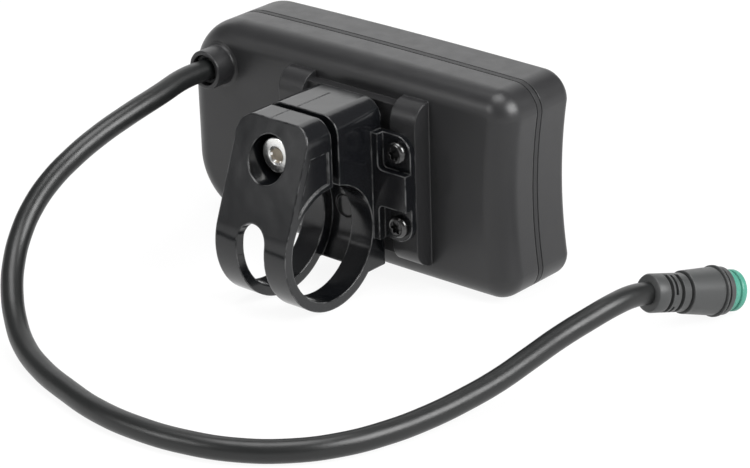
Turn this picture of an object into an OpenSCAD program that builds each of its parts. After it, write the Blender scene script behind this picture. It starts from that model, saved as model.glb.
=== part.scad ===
// Handlebar display for an electric bicycle: sealed housing, split clamp and a short lead with a round plug.
// Frame: X along the handlebar, Y towards the clamp side, Z up. The origin is the centre of the clamp bore.

/* [Handlebar clamp] */
// Diameter of the handlebar that the clamp takes
bar_d = 22.2; // [20:0.1:25.4]
// Wall of the clamp ring
ring_wall = 1.9; // [1.6:0.1:2.4]
// Width of the clamp along the bar
clamp_w = 17.5; // [16:0.5:20]
// Height of the clamp's top over the bar axis
clamp_top = 24; // [22.5:0.5:26]
// How far the strap's top edge stands in front of the bar axis
strap_lean = 4.7; // [4:0.1:5.5]
// Depth of the strap head at its top
head_depth = 5.2; // [4.8:0.1:5.6]
// Gap that closes when the clamp is tightened
clamp_gap = 1.8; // [1:0.1:2.4]
// Radius of the clamp's upper corners
clamp_corner_r = 3.7; // [2:0.1:5]
// Distance from the bar axis to the clamp's back plane
arm_reach = 14.2; // [14:0.1:16]
// Depth of the arm's underside below the bar axis
arm_drop = 9; // [7:0.5:10]
// Width of the relief groove round the bore
groove_w = 6.8; // [5:0.1:8]
// Depth of the relief groove
groove_depth = 2.3; // [2.1:0.1:2.5]
// Angle of the strap slot's rounded end above the horizontal
slot_end_angle = 26; // [15:1:35]

/* [Clamp screw] */
// Thread diameter
clamp_screw_d = 4; // [3.5:0.1:4.2]
// Head diameter
clamp_head_d = 7; // [6.5:0.1:7.2]
// Head height
clamp_head_h = 4; // [3.5:0.1:4.2]
// Shank length under the head
clamp_screw_l = 12; // [10:1:14]
// Height of the screw over the bar axis
clamp_screw_z = 17; // [16.5:0.1:18]
// Material left under the screw head
seat_t = 1.5; // [1.2:0.1:2]
// Width across flats of the nut
nut_af = 7; // [6.5:0.1:7.2]
// Thickness of the nut
nut_t = 3.2; // [2.8:0.1:3.6]

/* [Clamp flange] */
// Width of the flange
flange_w = 33.6; // [32:0.2:34]
// Height of the flange
flange_h = 21.2; // [19:0.2:23]
// Thickness of the flange
flange_t = 2.9; // [2.4:0.1:3.4]
// Radius of the flange's corners
flange_corner_r = 3.4; // [2:0.1:4]
// Thickness left under each screw
ear_t = 1.3; // [1:0.1:1.6]
// Width of each screw pocket
ear_w = 6.6; // [6:0.1:7.4]
// Height of each screw pocket
ear_h = 7; // [6.2:0.1:7.6]
// Distance between the screw columns
screw_span = 27.8; // [27:0.1:28.4]
// Distance between the screw rows
screw_rise = 14.7; // [14:0.1:15.4]
// Thread diameter of the flange screws
flange_screw_d = 2.5; // [2:0.1:2.8]
// Head diameter of the flange screws
flange_head_d = 4.3; // [4:0.1:4.6]

/* [Housing] */
// Length along the bar
shell_l = 80.5; // [76:0.5:84]
// Height at mid length
shell_h = 41.8; // [40:0.2:44]
// Distance from the clamp's middle to the round end
shell_side = 45.3; // [44:0.1:48]
// Depth of the rear shell
rear_depth = 9; // [8.6:0.1:12]
// Depth of the front shell
front_depth = 8.6; // [8.4:0.1:10]
// Thickness of the seal between the shells
seal_t = 1.3; // [0.8:0.1:1.6]
// Corner radius at the round end
round_r = 12.5; // [10:0.5:16]
// Corner radius at the hollow end
end_r = 5.2; // [5:0.1:7]
// Rise of the long sides at mid length
side_crown = 0.4; // [0.2:0.1:1.2]
// Depth of the hollow end
end_hollow = 1.2; // [0.4:0.1:1.8]
// Edge radius of the rear shell
rear_edge_r = 4.7; // [3:0.1:4.8]
// Edge radius of the front shell
front_edge_r = 1.8; // [0.8:0.1:2.2]
// Wall of the shells
wall = 1.8; // [1.5:0.1:2.2]
// Thickness of the rear shell's back
back_t = 2; // [1.6:0.1:2.4]
// Thickness of the front shell's face
face_t = 1.6; // [1.4:0.1:1.8]

/* [Ribs and boss] */
// How far the two ribs stand off the back
rib_proud = 4; // [3.4:0.1:4.6]
// Width of each rib
rib_w = 6; // [5.6:0.1:6.4]
// Height of each rib
rib_h = 32.6; // [30:0.2:34]
// How far the pad between the ribs stands off the back
pad_proud = 2.2; // [1:0.1:2.4]
// Height of the pad between the ribs
pad_h = 30; // [26:0.5:32]
// Distance of the cable boss from the clamp's middle
boss_x = 36; // [34:0.5:37]
// Height of the cable boss over the bar axis
boss_z = 20; // [18:0.5:21]
// Outer diameter of the cable boss
boss_d = 7.8; // [7.2:0.1:8.4]
// Bore of the cable boss
boss_bore_d = 6; // [5.6:0.1:6.4]
// How far the boss stands off the back
boss_proud = 4.6; // [3.5:0.1:5]

/* [Front panel] */
// Thickness of the front film
film_t = 0.4; // [0.3:0.1:0.5]
// Margin from the housing's edge to the film
film_margin = 3.2; // [2.6:0.1:4]
// Diameter of the button caps
button_d = 9; // [8:0.1:9.6]
// How far the caps stand out of the film
button_proud = 0.8; // [0.5:0.1:1.2]
// Travel of a button
button_travel = 0.35; // [0.2:0.05:0.4]
// Distance between the buttons
button_pitch = 11.5; // [11.2:0.1:11.8]
// Distance of the buttons from the hollow end
button_inset = 11; // [10.6:0.1:12]
// Diameter of the light guides
guide_d = 3; // [2.4:0.1:3.4]
// Distance between neighbouring lights
light_pitch = 9; // [7:0.5:9.5]
// Distance from the hollow end to the first light
light_inset = 26; // [25:0.5:27]
// Distance between the two rows of lights
row_pitch = 17.5; // [15:0.5:19]

/* [Circuit board] */
// Thickness of the board
board_t = 1.6; // [1.2:0.1:1.6]
// Room between the front shell's face and the board
board_room = 4.1; // [3.9:0.1:4.2]
// Gap between the shell wall and the board
board_gap = 1.2; // [0.8:0.1:1.6]
// Side of a push switch
switch_w = 6; // [5:0.1:6.4]
// Height of a push switch
switch_h = 2.2; // [1.9:0.1:2.2]

/* [Lead and plug] */
// Diameter of the lead
lead_d = 4.2; // [3.8:0.1:4.6]
// Length of the plug without its nose
plug_body_l = 17.6; // [16:0.1:19]
// Length of the plug's nose that shows
plug_nose_l = 3.2; // [2.4:0.1:3.6]
// Diameter of the plug at its rear
plug_rear_d = 7.1; // [6.6:0.1:7.6]
// Diameter of the plug's barrel where it is widest
plug_d = 9.5; // [8.8:0.1:9.8]
// Diameter of the plug's nose
plug_nose_d = 7.7; // [7.2:0.1:7.9]

/* [Hidden] */
$fn = 64;

// Clearances and small sizes
over = 1;
slide_gap = 0.1;
fit_gap = 0.05;
rest_gap = 0.05;
thread_gap = 0.05;
hole_gap = 0.2;

// Planes along Y
bore_r = bar_d / 2;
ring_r = bore_r + ring_wall;
floor_z = -ring_r;
head_back = strap_lean - head_depth;
arm_front = head_back - clamp_gap;
flange_front = flange_t - arm_reach;
ear_front = ear_t - arm_reach;
back_y = -arm_reach - rib_proud;
rear_split = back_y - rear_depth;
front_split = rear_split - seal_t;
face_y = front_split - front_depth;
film_bed = face_y + film_t + fit_gap;
face_in = face_y + face_t;
board_front = face_in + board_room;
board_back = board_front + board_t;

// Housing outline
shell_mid_z = floor_z + shell_h / 2;
shell_x1 = shell_side;
shell_x0 = shell_side - shell_l;
shell_mid_x = (shell_x0 + shell_x1) / 2;
corner_steps = 8;
side_steps = 8;
end_v = 1 - 2 * end_r / shell_h;
edge_steps = 6;
hollow_start_share = 0.5;
hollow_full_share = 0.8;

// Strap face: a plane that touches the ring and passes through the strap's top edge
strap_angle = atan2(clamp_top, strap_lean) - acos(ring_r / norm([strap_lean, clamp_top]));

// Clamp screw places
head_seat = head_back + seat_t;
clamp_bore_d = clamp_screw_d + 2 * hole_gap;
counterbore_d = clamp_head_d + 1.8 * seat_t / 1.5;
nut_seat = head_seat - clamp_screw_l + nut_t * 0.9;
nut_pocket_af = nut_af + 2 * fit_gap;
hex_socket_af = 0.75 * clamp_screw_d;
hex_socket_depth = 0.55 * clamp_screw_d;

// Clamp groove, side relief and ejector mark
slot_lap_angle = 8;
bore_relief = 0.05 * ring_wall;
bore_relief_w = 1.2 * groove_w;
relief_depth = ring_wall / 6;
relief_band = 0.9 * ring_wall;
relief_lip = ring_wall / 2;
relief_top = 0.76 * clamp_top;
ejector_r = 0.31 * groove_w;
ejector_depth = 0.08 * ring_wall;

// Flange screws
flange_head_h = 0.3 * flange_head_d;
flange_screw_l = ear_t + 1.15 * rib_proud;
flange_hole_d = flange_screw_d + 2 * hole_gap * 0.75;

// Shell screws
shell_post_d = 5.6;
shell_screw_d = 2;
shell_head_d = 3.8;
shell_head_h = 1.3;
shell_screw_l = 11;
shell_screw_inset = 5.6;
shell_screw_near = 21;
shell_screw_far = 18.5;
shell_screw_xs = [shell_screw_near, shell_l - shell_screw_far];

// Front panel places
button_x = shell_x0 + button_inset;
button_zs = [shell_mid_z, shell_mid_z + button_pitch, shell_mid_z - button_pitch];
button_flange_d = button_d + 1.8;
button_flange_t = 0.5;
button_edge_r = 0.35;
icon_depth = 0.3;
icon_l = 0.42 * button_d;
icon_w = 0.11 * button_d;
stem_d = 2.6;
plunger_d = 2.5;
plunger_l = 1.1;
button_seal_t = 0.6;
button_seal_d = button_flange_d + 1.2;
upper_lights = 4;
lower_lights = 5;
guide_flange_d = guide_d + 1.2;
guide_flange_t = 0.55;
chip_w = 3.2;
chip_d = 2.8;
chip_h = 1.9;

// Board parts
board_post_d = 4;
board_screw_d = 1.6;
board_head_d = 3.2;
board_head_h = 1.2;
board_screw_l = board_t + 2.1;
board_screw_xs = [light_inset - 6, shell_l - 8.1];
controller_w = 7;
controller_h = 1.2;
header_l = 8;
header_w = 5;
header_h = 5;
wire_d = 0.8;
wire_count = 5;
wire_pitch = 1.4;
wire_end_gap = 0.35;
wire_angles = [180, 108, -108, 36, -36];

// Gland and lead tail
gland_front = back_y + boss_proud - 1;
gland_back = back_y - back_t - rest_gap;
gland_flange_d = boss_bore_d + 2.4;
gland_flange_t = 1;
tail_end = gland_back - 2.2;

// Route of the lead's centre line, from the gland to the plug
lead_route = [
    [36, -14.6, 20], [36, -8, 20], [35.6, -1, 19], [35.9, 7.5, 17.3], [36.7, 14.4, 15.2],
    [37.5, 20.5, 12.6], [38.2, 26, 9.4], [38.2, 30.8, 5.8], [37.2, 35, 2.2], [34.8, 39.4, -1.5],
    [31.4, 43.3, -4.7], [26, 47.6, -7.9], [20, 51.2, -9.7], [12, 54.5, -10.6], [3, 57, -10.9],
    [-7, 59.2, -10.9], [-17, 59.6, -10.9], [-27, 58.2, -10.9], [-36, 54.9, -10.9], [-43.2, 49.6, -10.9],
    [-48.2, 43, -10.9], [-51.5, 35, -10.9], [-53.7, 26.8, -10.6], [-55.4, 19, -9.8], [-56.6, 11.5, -8.8],
    [-57.4, 4, -7.4], [-58.1, -3.5, -6], [-59.4, -10.6, -4.6], [-60.7, -16.6, -3.5], [-61.25, -21.2, -3.5],
    [-61.67, -24.98, -4.24]
];
lead_sides = 10;
plug_at = lead_route[len(lead_route) - 1];
plug_heading = 15;
plug_tilt = 14;
plug_colour = "#55565a";
nose_colour = "#50af96";

// Plug details
plug_slots = 2;
plug_slot_w = 0.9;
plug_slot_depth = 0.5;
plug_wall = 1;
plug_core_d = plug_nose_d - 2 * plug_wall;
plug_step_at_share = 0.43;
plug_wide_at_share = 0.872;
plug_collar_l = 2.6;
plug_collar_drop = 0.3;
plug_socket_depth = 3.4;
pin_d = 0.8;
pin_l = 3;
pin_circle_r = 1.7;
pin_count = 5;

// Shell colours
shell_colour = "#3c3c3e";
gloss_colour = "#1c1d20";

// Outline of the housing at an inset from its outer surface, as points [x, z]
function arc(cx, cz, r, start) = [
    for (i = [0 : corner_steps]) [cx + r * cos(start + 90 * i / corner_steps), cz + r * sin(start + 90 * i / corner_steps)]
];
function between(p, q) = [for (i = [1 : side_steps - 1]) p + (q - p) * i / side_steps];
function hollow_share(u) =
    min(1, max(0, (-u - hollow_start_share) / (hollow_full_share - hollow_start_share)));
function warp(p) =
    let (u = (p[0] - shell_mid_x) / (shell_l / 2), v = (p[1] - shell_mid_z) / (shell_h / 2))
    [
        p[0] + end_hollow * max(0, 1 - pow(v / end_v, 2)) * hollow_share(u),
        shell_mid_z + (p[1] - shell_mid_z) * (1 - side_crown / (shell_h / 2) * u * u)
    ];
function outline(inset) =
    let (
        x0 = shell_x0 + inset,
        x1 = shell_x1 - inset,
        z0 = shell_mid_z - shell_h / 2 + inset,
        z1 = shell_mid_z + shell_h / 2 - inset,
        rr = round_r - inset,
        re = max(end_r - inset, fit_gap)
    )
    [
        for (p = concat(
            arc(x1 - rr, z0 + rr, rr, -90), between([x1, z0 + rr], [x1, z1 - rr]),
            arc(x1 - rr, z1 - rr, rr, 0), between([x1 - rr, z1], [x0 + re, z1]),
            arc(x0 + re, z1 - re, re, 90), between([x0, z1 - re], [x0, z0 + re]),
            arc(x0 + re, z0 + re, re, 180), between([x0 + re, z0], [x1 - rr, z0])
        )) warp(p)
    ];

// Solid through a list of rings of equal length, closed at both ends
module loft(rings) {
    n = len(rings[0]);
    m = len(rings);
    polyhedron(
        points = [for (ring = rings) for (p = ring) p],
        faces = concat(
            [[for (i = [n - 1 : -1 : 0]) i]],
            [
                for (j = [0 : m - 2]) for (i = [0 : n - 1])
                    [j * n + i, j * n + (i + 1) % n, (j + 1) * n + (i + 1) % n, (j + 1) * n + i]
            ],
            [[for (i = [0 : n - 1]) (m - 1) * n + i]]
        ),
        convexity = 6
    );
}

function ring_at(inset, y) = [for (p = outline(inset)) [p[0], y, p[1]]];

// Plate that follows the housing outline, from y0 up to y1
module outline_plate(inset, y0, y1) {
    translate([0, y1, 0]) rotate([90, 0, 0]) linear_extrude(height = y1 - y0) polygon(outline(inset));
}

// Cylinder along Y from y0 up to y1
module rod_y(x, z, r, y0, y1) {
    translate([x, y0, z]) rotate([-90, 0, 0]) cylinder(r = r, h = y1 - y0);
}

// Cylinder along X, centred on the clamp
module rod_x(y, z, r, w) {
    translate([-w / 2, y, z]) rotate([0, 90, 0]) cylinder(r = r, h = w);
}

// Box from one corner to the other
module box(low, high) {
    translate(low) cube(high - low);
}

// Hexagonal prism along Y
module hex_y(x, z, af, y0, y1) {
    translate([x, y0, z]) rotate([-90, 0, 0]) cylinder(r = af / 2 / cos(30), h = y1 - y0, $fn = 6);
}

// Prism with an outline of [y, z] points, centred on the clamp
module prism_x(points, w) {
    translate([-w / 2, 0, 0]) rotate([90, 0, 90]) linear_extrude(height = w) polygon(points);
}

// Clamp
module clamp_profile(y0, y1) {
    r = clamp_corner_r;
    half = clamp_w / 2;
    box([-half, y0, -ring_r], [half, y1, clamp_top - r]);
    box([r - half, y0, -ring_r], [half - r, y1, clamp_top]);
    for (side = [-1, 1]) rod_y(side * (half - r), clamp_top - r, r, y0, y1);
}

module strap_head() {
    low = [ring_r * cos(strap_angle), ring_r * sin(strap_angle)];
    intersection() {
        clamp_profile(head_back, ring_r + over);
        prism_x([[head_back, 0], [0, 0], low, [strap_lean, clamp_top], [head_back, clamp_top]], clamp_w + over);
    }
}

module arm() {
    intersection() {
        clamp_profile(-arm_reach, arm_front);
        box([-clamp_w, -arm_reach, -arm_drop], [clamp_w, arm_front, clamp_top + over]);
    }
}

module flange() {
    half = flange_w / 2;
    r = flange_corner_r;
    z0 = shell_mid_z - flange_h / 2;
    z1 = shell_mid_z + flange_h / 2;
    box([-half, -arm_reach, z0 + r], [half, flange_front, z1 - r]);
    box([r - half, -arm_reach, z0], [half - r, flange_front, z1]);
    for (x = [r - half, half - r]) for (z = [z0 + r, z1 - r]) rod_y(x, z, r, -arm_reach, flange_front);
}

module ear_pocket(side, top) {
    x_in = side * (flange_w / 2 - ear_w);
    x_out = side * (flange_w / 2 + over);
    z_in = shell_mid_z + top * (flange_h / 2 - ear_h);
    z_out = shell_mid_z + top * (flange_h / 2 + over);
    box(
        [min(x_in, x_out), ear_front, min(z_in, z_out)],
        [max(x_in, x_out), flange_front + over, max(z_in, z_out)]
    );
}

module relief_groove() {
    end_angle = slot_end_angle - asin(groove_w / 2 / ring_r);
    cut = tan(end_angle - slot_lap_angle);
    reach = 2 * ring_r;
    w = groove_w / 2 + fit_gap;
    difference() {
        rod_x(0, 0, bore_r + groove_depth, groove_w);
        prism_x([[0, 0], [reach, reach * cut], [reach, reach], [head_back, reach]], groove_w + over);
    }
    rotate([end_angle - 90, 0, 0]) translate([0, 0, bore_r / 2]) linear_extrude(height = ring_r)
        polygon(concat([for (a = [180 : 10 : 360]) w * [cos(a), sin(a)]], [[w, w], [-w, w]]));
}

module head_relief(side) {
    reach = (ring_r - relief_band) / cos(strap_angle);
    slope = tan(strap_angle);
    y0 = head_back + relief_lip;
    z0 = bore_r / 2;
    z1 = relief_top;
    difference() {
        translate([side * clamp_w / 2, 0, 0])
            prism_x([[y0, z0], [reach - z0 * slope, z0], [reach - z1 * slope, z1], [y0, z1]], 2 * relief_depth);
        rod_x(0, 0, ring_r - relief_lip, clamp_w + over);
    }
}

module clamp_bracket() {
    color(gloss_colour) difference() {
        union() {
            rod_x(0, 0, ring_r, clamp_w);
            strap_head();
            arm();
            flange();
        }
        rod_x(0, 0, bore_r, clamp_w + 2 * over);
        box([-clamp_w, arm_front, 0], [clamp_w, head_back, clamp_top + over]);
        relief_groove();
        rod_x(0, 0, bore_r + bore_relief, bore_relief_w);
        rod_y(0, ring_wall / 2, ejector_r, -bore_r - groove_depth - ejector_depth, -bore_r / 2);
        for (side = [-1, 1]) head_relief(side);
        for (side = [-1, 1]) for (top = [-1, 1]) ear_pocket(side, top);
        flange_screw_places() rod_y(0, 0, flange_hole_d / 2, -arm_reach - over, flange_front + over);
        rod_y(0, clamp_screw_z, counterbore_d / 2, head_seat, ring_r + over);
        rod_y(0, clamp_screw_z, clamp_bore_d / 2, nut_seat - over, head_seat + over);
        hex_y(0, clamp_screw_z, nut_pocket_af, -arm_reach - over, nut_seat);
    }
}

module flange_screw_places() {
    for (x = [-screw_span / 2, screw_span / 2]) for (z = [-screw_rise / 2, screw_rise / 2])
        translate([x, 0, shell_mid_z + z]) children();
}

module clamp_screw() {
    chamfer = clamp_head_d / 18;
    r = clamp_head_d / 2;
    color("silver") difference() {
        translate([0, head_seat, clamp_screw_z]) rotate([-90, 0, 0]) union() {
            rotate_extrude() polygon([[0, 0], [r, 0], [r, clamp_head_h - chamfer], [r - chamfer, clamp_head_h], [0, clamp_head_h]]);
            translate([0, 0, -clamp_screw_l]) cylinder(d = clamp_screw_d, h = clamp_screw_l);
        }
        hex_y(0, clamp_screw_z, hex_socket_af, head_seat + clamp_head_h - hex_socket_depth, head_seat + clamp_head_h + over);
    }
}

module clamp_nut() {
    color("gainsboro") difference() {
        hex_y(0, clamp_screw_z, nut_af, nut_seat - rest_gap - nut_t, nut_seat - rest_gap);
        rod_y(0, clamp_screw_z, clamp_screw_d / 2 + thread_gap, nut_seat - nut_t - over, nut_seat + over);
    }
}

// Pan-head screw with a six-lobe recess, seated at the origin, shank towards -Y
module pan_screw(d, head_d, head_h, l) {
    r = head_d / 2;
    lobe_r = 0.14 * r;
    rotate([-90, 0, 0]) difference() {
        union() {
            rotate_extrude() polygon([[0, 0], [r, 0], [r, 0.4 * head_h], [0.9 * r, 0.75 * head_h], [0.65 * r, head_h], [0, head_h]]);
            translate([0, 0, -l]) cylinder(d = d, h = l);
        }
        translate([0, 0, 0.35 * head_h]) cylinder(r = 0.36 * r, h = head_h);
        for (a = [0 : 60 : 300]) rotate([0, 0, a]) translate([0.38 * r, 0, 0.35 * head_h]) cylinder(r = lobe_r, h = head_h);
    }
}

module flange_screws() {
    color("#26272a") flange_screw_places() translate([0, ear_front, 0])
        pan_screw(flange_screw_d, flange_head_d, flange_head_h, flange_screw_l);
}

// Housing shells
module rib(side) {
    x = side * screw_span / 2;
    z0 = shell_mid_z - rib_h / 2;
    z1 = shell_mid_z + rib_h / 2;
    box([x - rib_w / 2, back_y - over, z0 + rib_proud], [x + rib_w / 2, back_y + rib_proud, z1 - rib_proud]);
    for (z = [z0 + rib_proud, z1 - rib_proud])
        translate([x, 0, 0]) rod_x(back_y, z, rib_proud, rib_w);
}

module rear_shell() {
    pad_half = screw_span / 2 - rib_w / 2 + fit_gap;
    boss_flare = boss_proud / 3;
    color(shell_colour) {
        difference() {
            union() {
                loft(concat(
                    [ring_at(0, rear_split)],
                    [
                        for (i = [edge_steps : -1 : 0])
                            let (a = 90 * i / edge_steps)
                            ring_at(rear_edge_r * (1 - sin(a)), back_y - rear_edge_r * (1 - cos(a)))
                    ]
                ));
                for (side = [-1, 1]) rib(side);
                box([-pad_half, back_y - over, shell_mid_z - pad_h / 2], [pad_half, back_y + pad_proud, shell_mid_z + pad_h / 2]);
                rod_y(boss_x, boss_z, boss_d / 2, back_y - back_t, back_y + boss_proud);
                rod_y(boss_x, boss_z, boss_d / 2 + boss_flare, back_y - back_t / 2, back_y);
                translate([boss_x, back_y, boss_z]) rotate([-90, 0, 0])
                    cylinder(r1 = boss_d / 2 + boss_flare, r2 = boss_d / 2, h = boss_flare);
            }
            outline_plate(wall, rear_split - over, back_y - back_t);
            rod_y(boss_x, boss_z, boss_bore_d / 2, back_y - back_t - over, back_y + boss_proud + over);
            flange_screw_places() rod_y(0, 0, flange_screw_d / 2 + thread_gap, ear_front - flange_screw_l - 2 * fit_gap, back_y + rib_proud + over);
        }
        shell_screw_places() difference() {
            rod_y(0, 0, shell_post_d / 2, rear_split - seal_t + slide_gap, back_y - back_t / 2);
            rod_y(0, 0, shell_screw_d / 2 + thread_gap, front_split - over, shell_screw_end() + over / 2);
        }
    }
}

module shell_screw_places() {
    reach = shell_h / 2 - shell_screw_inset;
    for (x = shell_screw_xs) for (z = [-reach, reach]) translate([shell_x0 + x, 0, shell_mid_z + z]) children();
}

function shell_screw_seat() = film_bed + shell_head_h + 2 * fit_gap;
function shell_screw_end() = shell_screw_seat() + shell_screw_l;

module shell_seal() {
    color("#222326") difference() {
        outline_plate(0, front_split, rear_split);
        outline_plate(wall, front_split - over, rear_split + over);
    }
}

module front_shell() {
    color(shell_colour) difference() {
        union() {
            difference() {
                loft(concat(
                    [
                        for (i = [0 : edge_steps])
                            let (a = 90 * i / edge_steps)
                            ring_at(front_edge_r * (1 - sin(a)), face_y + front_edge_r * (1 - cos(a)))
                    ],
                    [ring_at(0, front_split)]
                ));
                outline_plate(wall, face_in, front_split + over);
            }
            shell_screw_places() rod_y(0, 0, shell_post_d / 2, face_in - face_t / 4, front_split);
            board_screw_places() rod_y(0, 0, board_post_d / 2, face_in - face_t / 4, board_front);
        }
        outline_plate(film_margin, face_y - over, film_bed);
        button_places() rod_y(0, 0, button_d / 2 + slide_gap, face_y - over, face_in + over);
        light_places() rod_y(0, 0, guide_d / 2 + fit_gap, face_y - over, face_in + over);
        shell_screw_places() rod_y(0, 0, shell_head_d / 2 + fit_gap, face_y - over, shell_screw_seat());
        shell_screw_places() rod_y(0, 0, shell_screw_d / 2 + slide_gap, face_y - over, front_split + over);
        board_screw_places() rod_y(0, 0, board_screw_d / 2 + thread_gap, board_back - board_screw_l - fit_gap, board_front + over);
    }
}

module shell_screws() {
    color("#8c8f94") shell_screw_places() translate([0, shell_screw_seat(), 0]) rotate([180, 0, 0])
        pan_screw(shell_screw_d, shell_head_d, shell_head_h, shell_screw_l);
}

module front_film() {
    color("#101114") difference() {
        outline_plate(film_margin + fit_gap, face_y, film_bed - fit_gap);
        button_places() rod_y(0, 0, button_d / 2 + 2 * slide_gap, face_y - over, film_bed + over);
    }
}

// Buttons
module button_places() {
    for (z = button_zs) translate([button_x, 0, z]) children();
}

module button_cap() {
    r = button_d / 2;
    top = face_y - button_proud;
    flange_y = face_in + button_seal_t + rest_gap;
    stem_end = board_front - switch_h - plunger_out();
    translate([0, top, 0]) rotate([-90, 0, 0]) rotate_extrude() polygon([
        [0, 0], [r - button_edge_r, 0], [r, button_edge_r], [r, flange_y - top],
        [button_flange_d / 2, flange_y - top], [button_flange_d / 2, flange_y + button_flange_t - top],
        [stem_d / 2, flange_y + button_flange_t - top], [stem_d / 2, stem_end - top], [0, stem_end - top]
    ]);
}

function plunger_out() = button_travel + 3 * fit_gap;

module button_icon(l, w) {
    box([-l / 2, face_y - button_proud - over, -w / 2], [l / 2, face_y - button_proud + icon_depth, w / 2]);
}

module power_button() {
    color("#d8dade") translate([button_x, 0, button_zs[0]]) difference() {
        button_cap();
        difference() {
            rod_y(0, 0, icon_l / 2, face_y - button_proud - over, face_y - button_proud + icon_depth);
            rod_y(0, 0, icon_l / 2 - icon_w, face_y - button_proud - 2 * over, face_y - button_proud + 2 * over);
            box([-icon_w, face_y - button_proud - 2 * over, 0], [icon_w, face_y, icon_l]);
        }
        translate([0, 0, icon_l / 2 - icon_w / 2]) rotate([0, 90, 0]) button_icon(0.6 * icon_l, 0.8 * icon_w);
    }
}

module plus_button() {
    color("#d8dade") translate([button_x, 0, button_zs[1]]) difference() {
        button_cap();
        union() {
            button_icon(icon_l, icon_w);
            button_icon(icon_w, icon_l);
        }
    }
}

module minus_button() {
    color("#d8dade") translate([button_x, 0, button_zs[2]]) difference() {
        button_cap();
        button_icon(icon_l, icon_w);
    }
}

module plunger(index) {
    tip = board_front - switch_h - plunger_out();
    color("#c8b48c") rod_y(button_x, button_zs[index], plunger_d / 2, tip, tip + plunger_l);
}

module button_seals() {
    color("#2a2b2e") button_places() difference() {
        rod_y(0, 0, button_seal_d / 2, face_in, face_in + button_seal_t);
        rod_y(0, 0, button_d / 2 + slide_gap, face_in - over, face_in + button_seal_t + over);
    }
}

module switch_bodies() {
    tip = board_front - switch_h - plunger_out();
    color("#303134") button_places() difference() {
        box([-switch_w / 2, board_front - switch_h, -switch_w / 2], [switch_w / 2, board_front, switch_w / 2]);
        rod_y(0, 0, plunger_d / 2 + slide_gap, board_front - switch_h - over, tip + plunger_l + button_travel + slide_gap);
    }
}

// Lights
module light_places() {
    for (i = [0 : upper_lights - 1])
        translate([shell_x0 + light_inset + i * light_pitch, 0, shell_mid_z + row_pitch / 2]) children();
    for (i = [0 : lower_lights - 1])
        translate([shell_x0 + light_inset + i * light_pitch, 0, shell_mid_z - row_pitch / 2]) children();
}

module light_guides() {
    color("#e8f0f0") light_places() {
        rod_y(0, 0, guide_d / 2, film_bed + fit_gap, board_front - chip_h - slide_gap);
        difference() {
            rod_y(0, 0, guide_flange_d / 2, face_in + fit_gap, face_in + fit_gap + guide_flange_t);
            rod_y(0, 0, guide_d / 4, face_in - over, face_in + over);
        }
    }
}

module light_chips() {
    color("#f2efe0") light_places() box([-chip_w / 2, board_front - chip_h, -chip_d / 2], [chip_w / 2, board_front, chip_d / 2]);
}

// Circuit board and what it carries
module board_screw_places() {
    for (x = board_screw_xs) translate([shell_x0 + x, 0, shell_mid_z]) children();
}

module circuit_board() {
    color("#1f5a34") difference() {
        outline_plate(wall + board_gap, board_front, board_back);
        shell_screw_places() rod_y(0, 0, shell_post_d / 2 + hole_gap, board_front - over, board_back + over);
        board_screw_places() rod_y(0, 0, board_screw_d / 2 + slide_gap, board_front - over, board_back + over);
    }
}

module board_screws() {
    color("#b0b2b6") board_screw_places() translate([0, board_back, 0])
        pan_screw(board_screw_d, board_head_d, board_head_h, board_screw_l);
}

module controller_chip() {
    x = shell_mid_x;
    half = controller_w / 2;
    color("#1a1b1d") box([x - half, board_back, shell_mid_z - half], [x + half, board_back + controller_h, shell_mid_z + half]);
}

module supply_parts() {
    s = controller_w / 2;
    color("#3a3a40") for (i = [0 : 2]) {
        x = shell_mid_x - controller_w * 2 + i * s * 1.6;
        z = shell_mid_z - controller_w * 1.4;
        box([x, board_back, z], [x + s, board_back + controller_h * (1 + i / 4), z + s * (1 + i / 3)]);
    }
}

module lead_header() {
    x = wire_x((wire_count - 1) / 2);
    color("ivory") difference() {
        box(
            [x - header_l / 2, board_back, boss_z - header_w / 2],
            [x + header_l / 2, board_back + header_h, boss_z + header_w / 2]
        );
        for (i = [0 : wire_count - 1])
            rod_y(wire_x(i), boss_z, wire_d / 2 + fit_gap, board_back + header_h / 2, board_back + header_h + over);
    }
}

function wire_x(i) = boss_x - header_w / 10 + (i - (wire_count - 1) / 2) * wire_pitch;

// Insulated wires from the header up to the lead's end
module lead_wires() {
    circle_r = lead_d / 2 - wire_d / 2 - slide_gap;
    for (i = [0 : wire_count - 1])
        color(["red", "black", "yellow", "green", "white"][i]) wire(
            [wire_x(i), board_back + header_h + wire_end_gap, boss_z],
            [boss_x + circle_r * cos(wire_angles[i]), tail_end - wire_end_gap, boss_z + circle_r * sin(wire_angles[i])]
        );
}

// Straight round wire from a up to b
module wire(a, b) {
    v = b - a;
    translate(a) rotate([0, acos(v[2] / norm(v)), atan2(v[1], v[0])]) cylinder(d = wire_d, h = norm(v), $fn = 24);
}

module cable_gland() {
    color("#17181a") difference() {
        union() {
            rod_y(boss_x, boss_z, boss_bore_d / 2 - fit_gap, gland_back - over, gland_front);
            rod_y(boss_x, boss_z, gland_flange_d / 2, gland_back - gland_flange_t, gland_back);
        }
        rod_y(boss_x, boss_z, lead_d / 2 + fit_gap, gland_back - gland_flange_t - over, gland_front + over);
    }
}

module lead_tail() {
    color("#1d1e20") rod_y(boss_x, boss_z, lead_d / 2, tail_end, gland_front);
}

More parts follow.
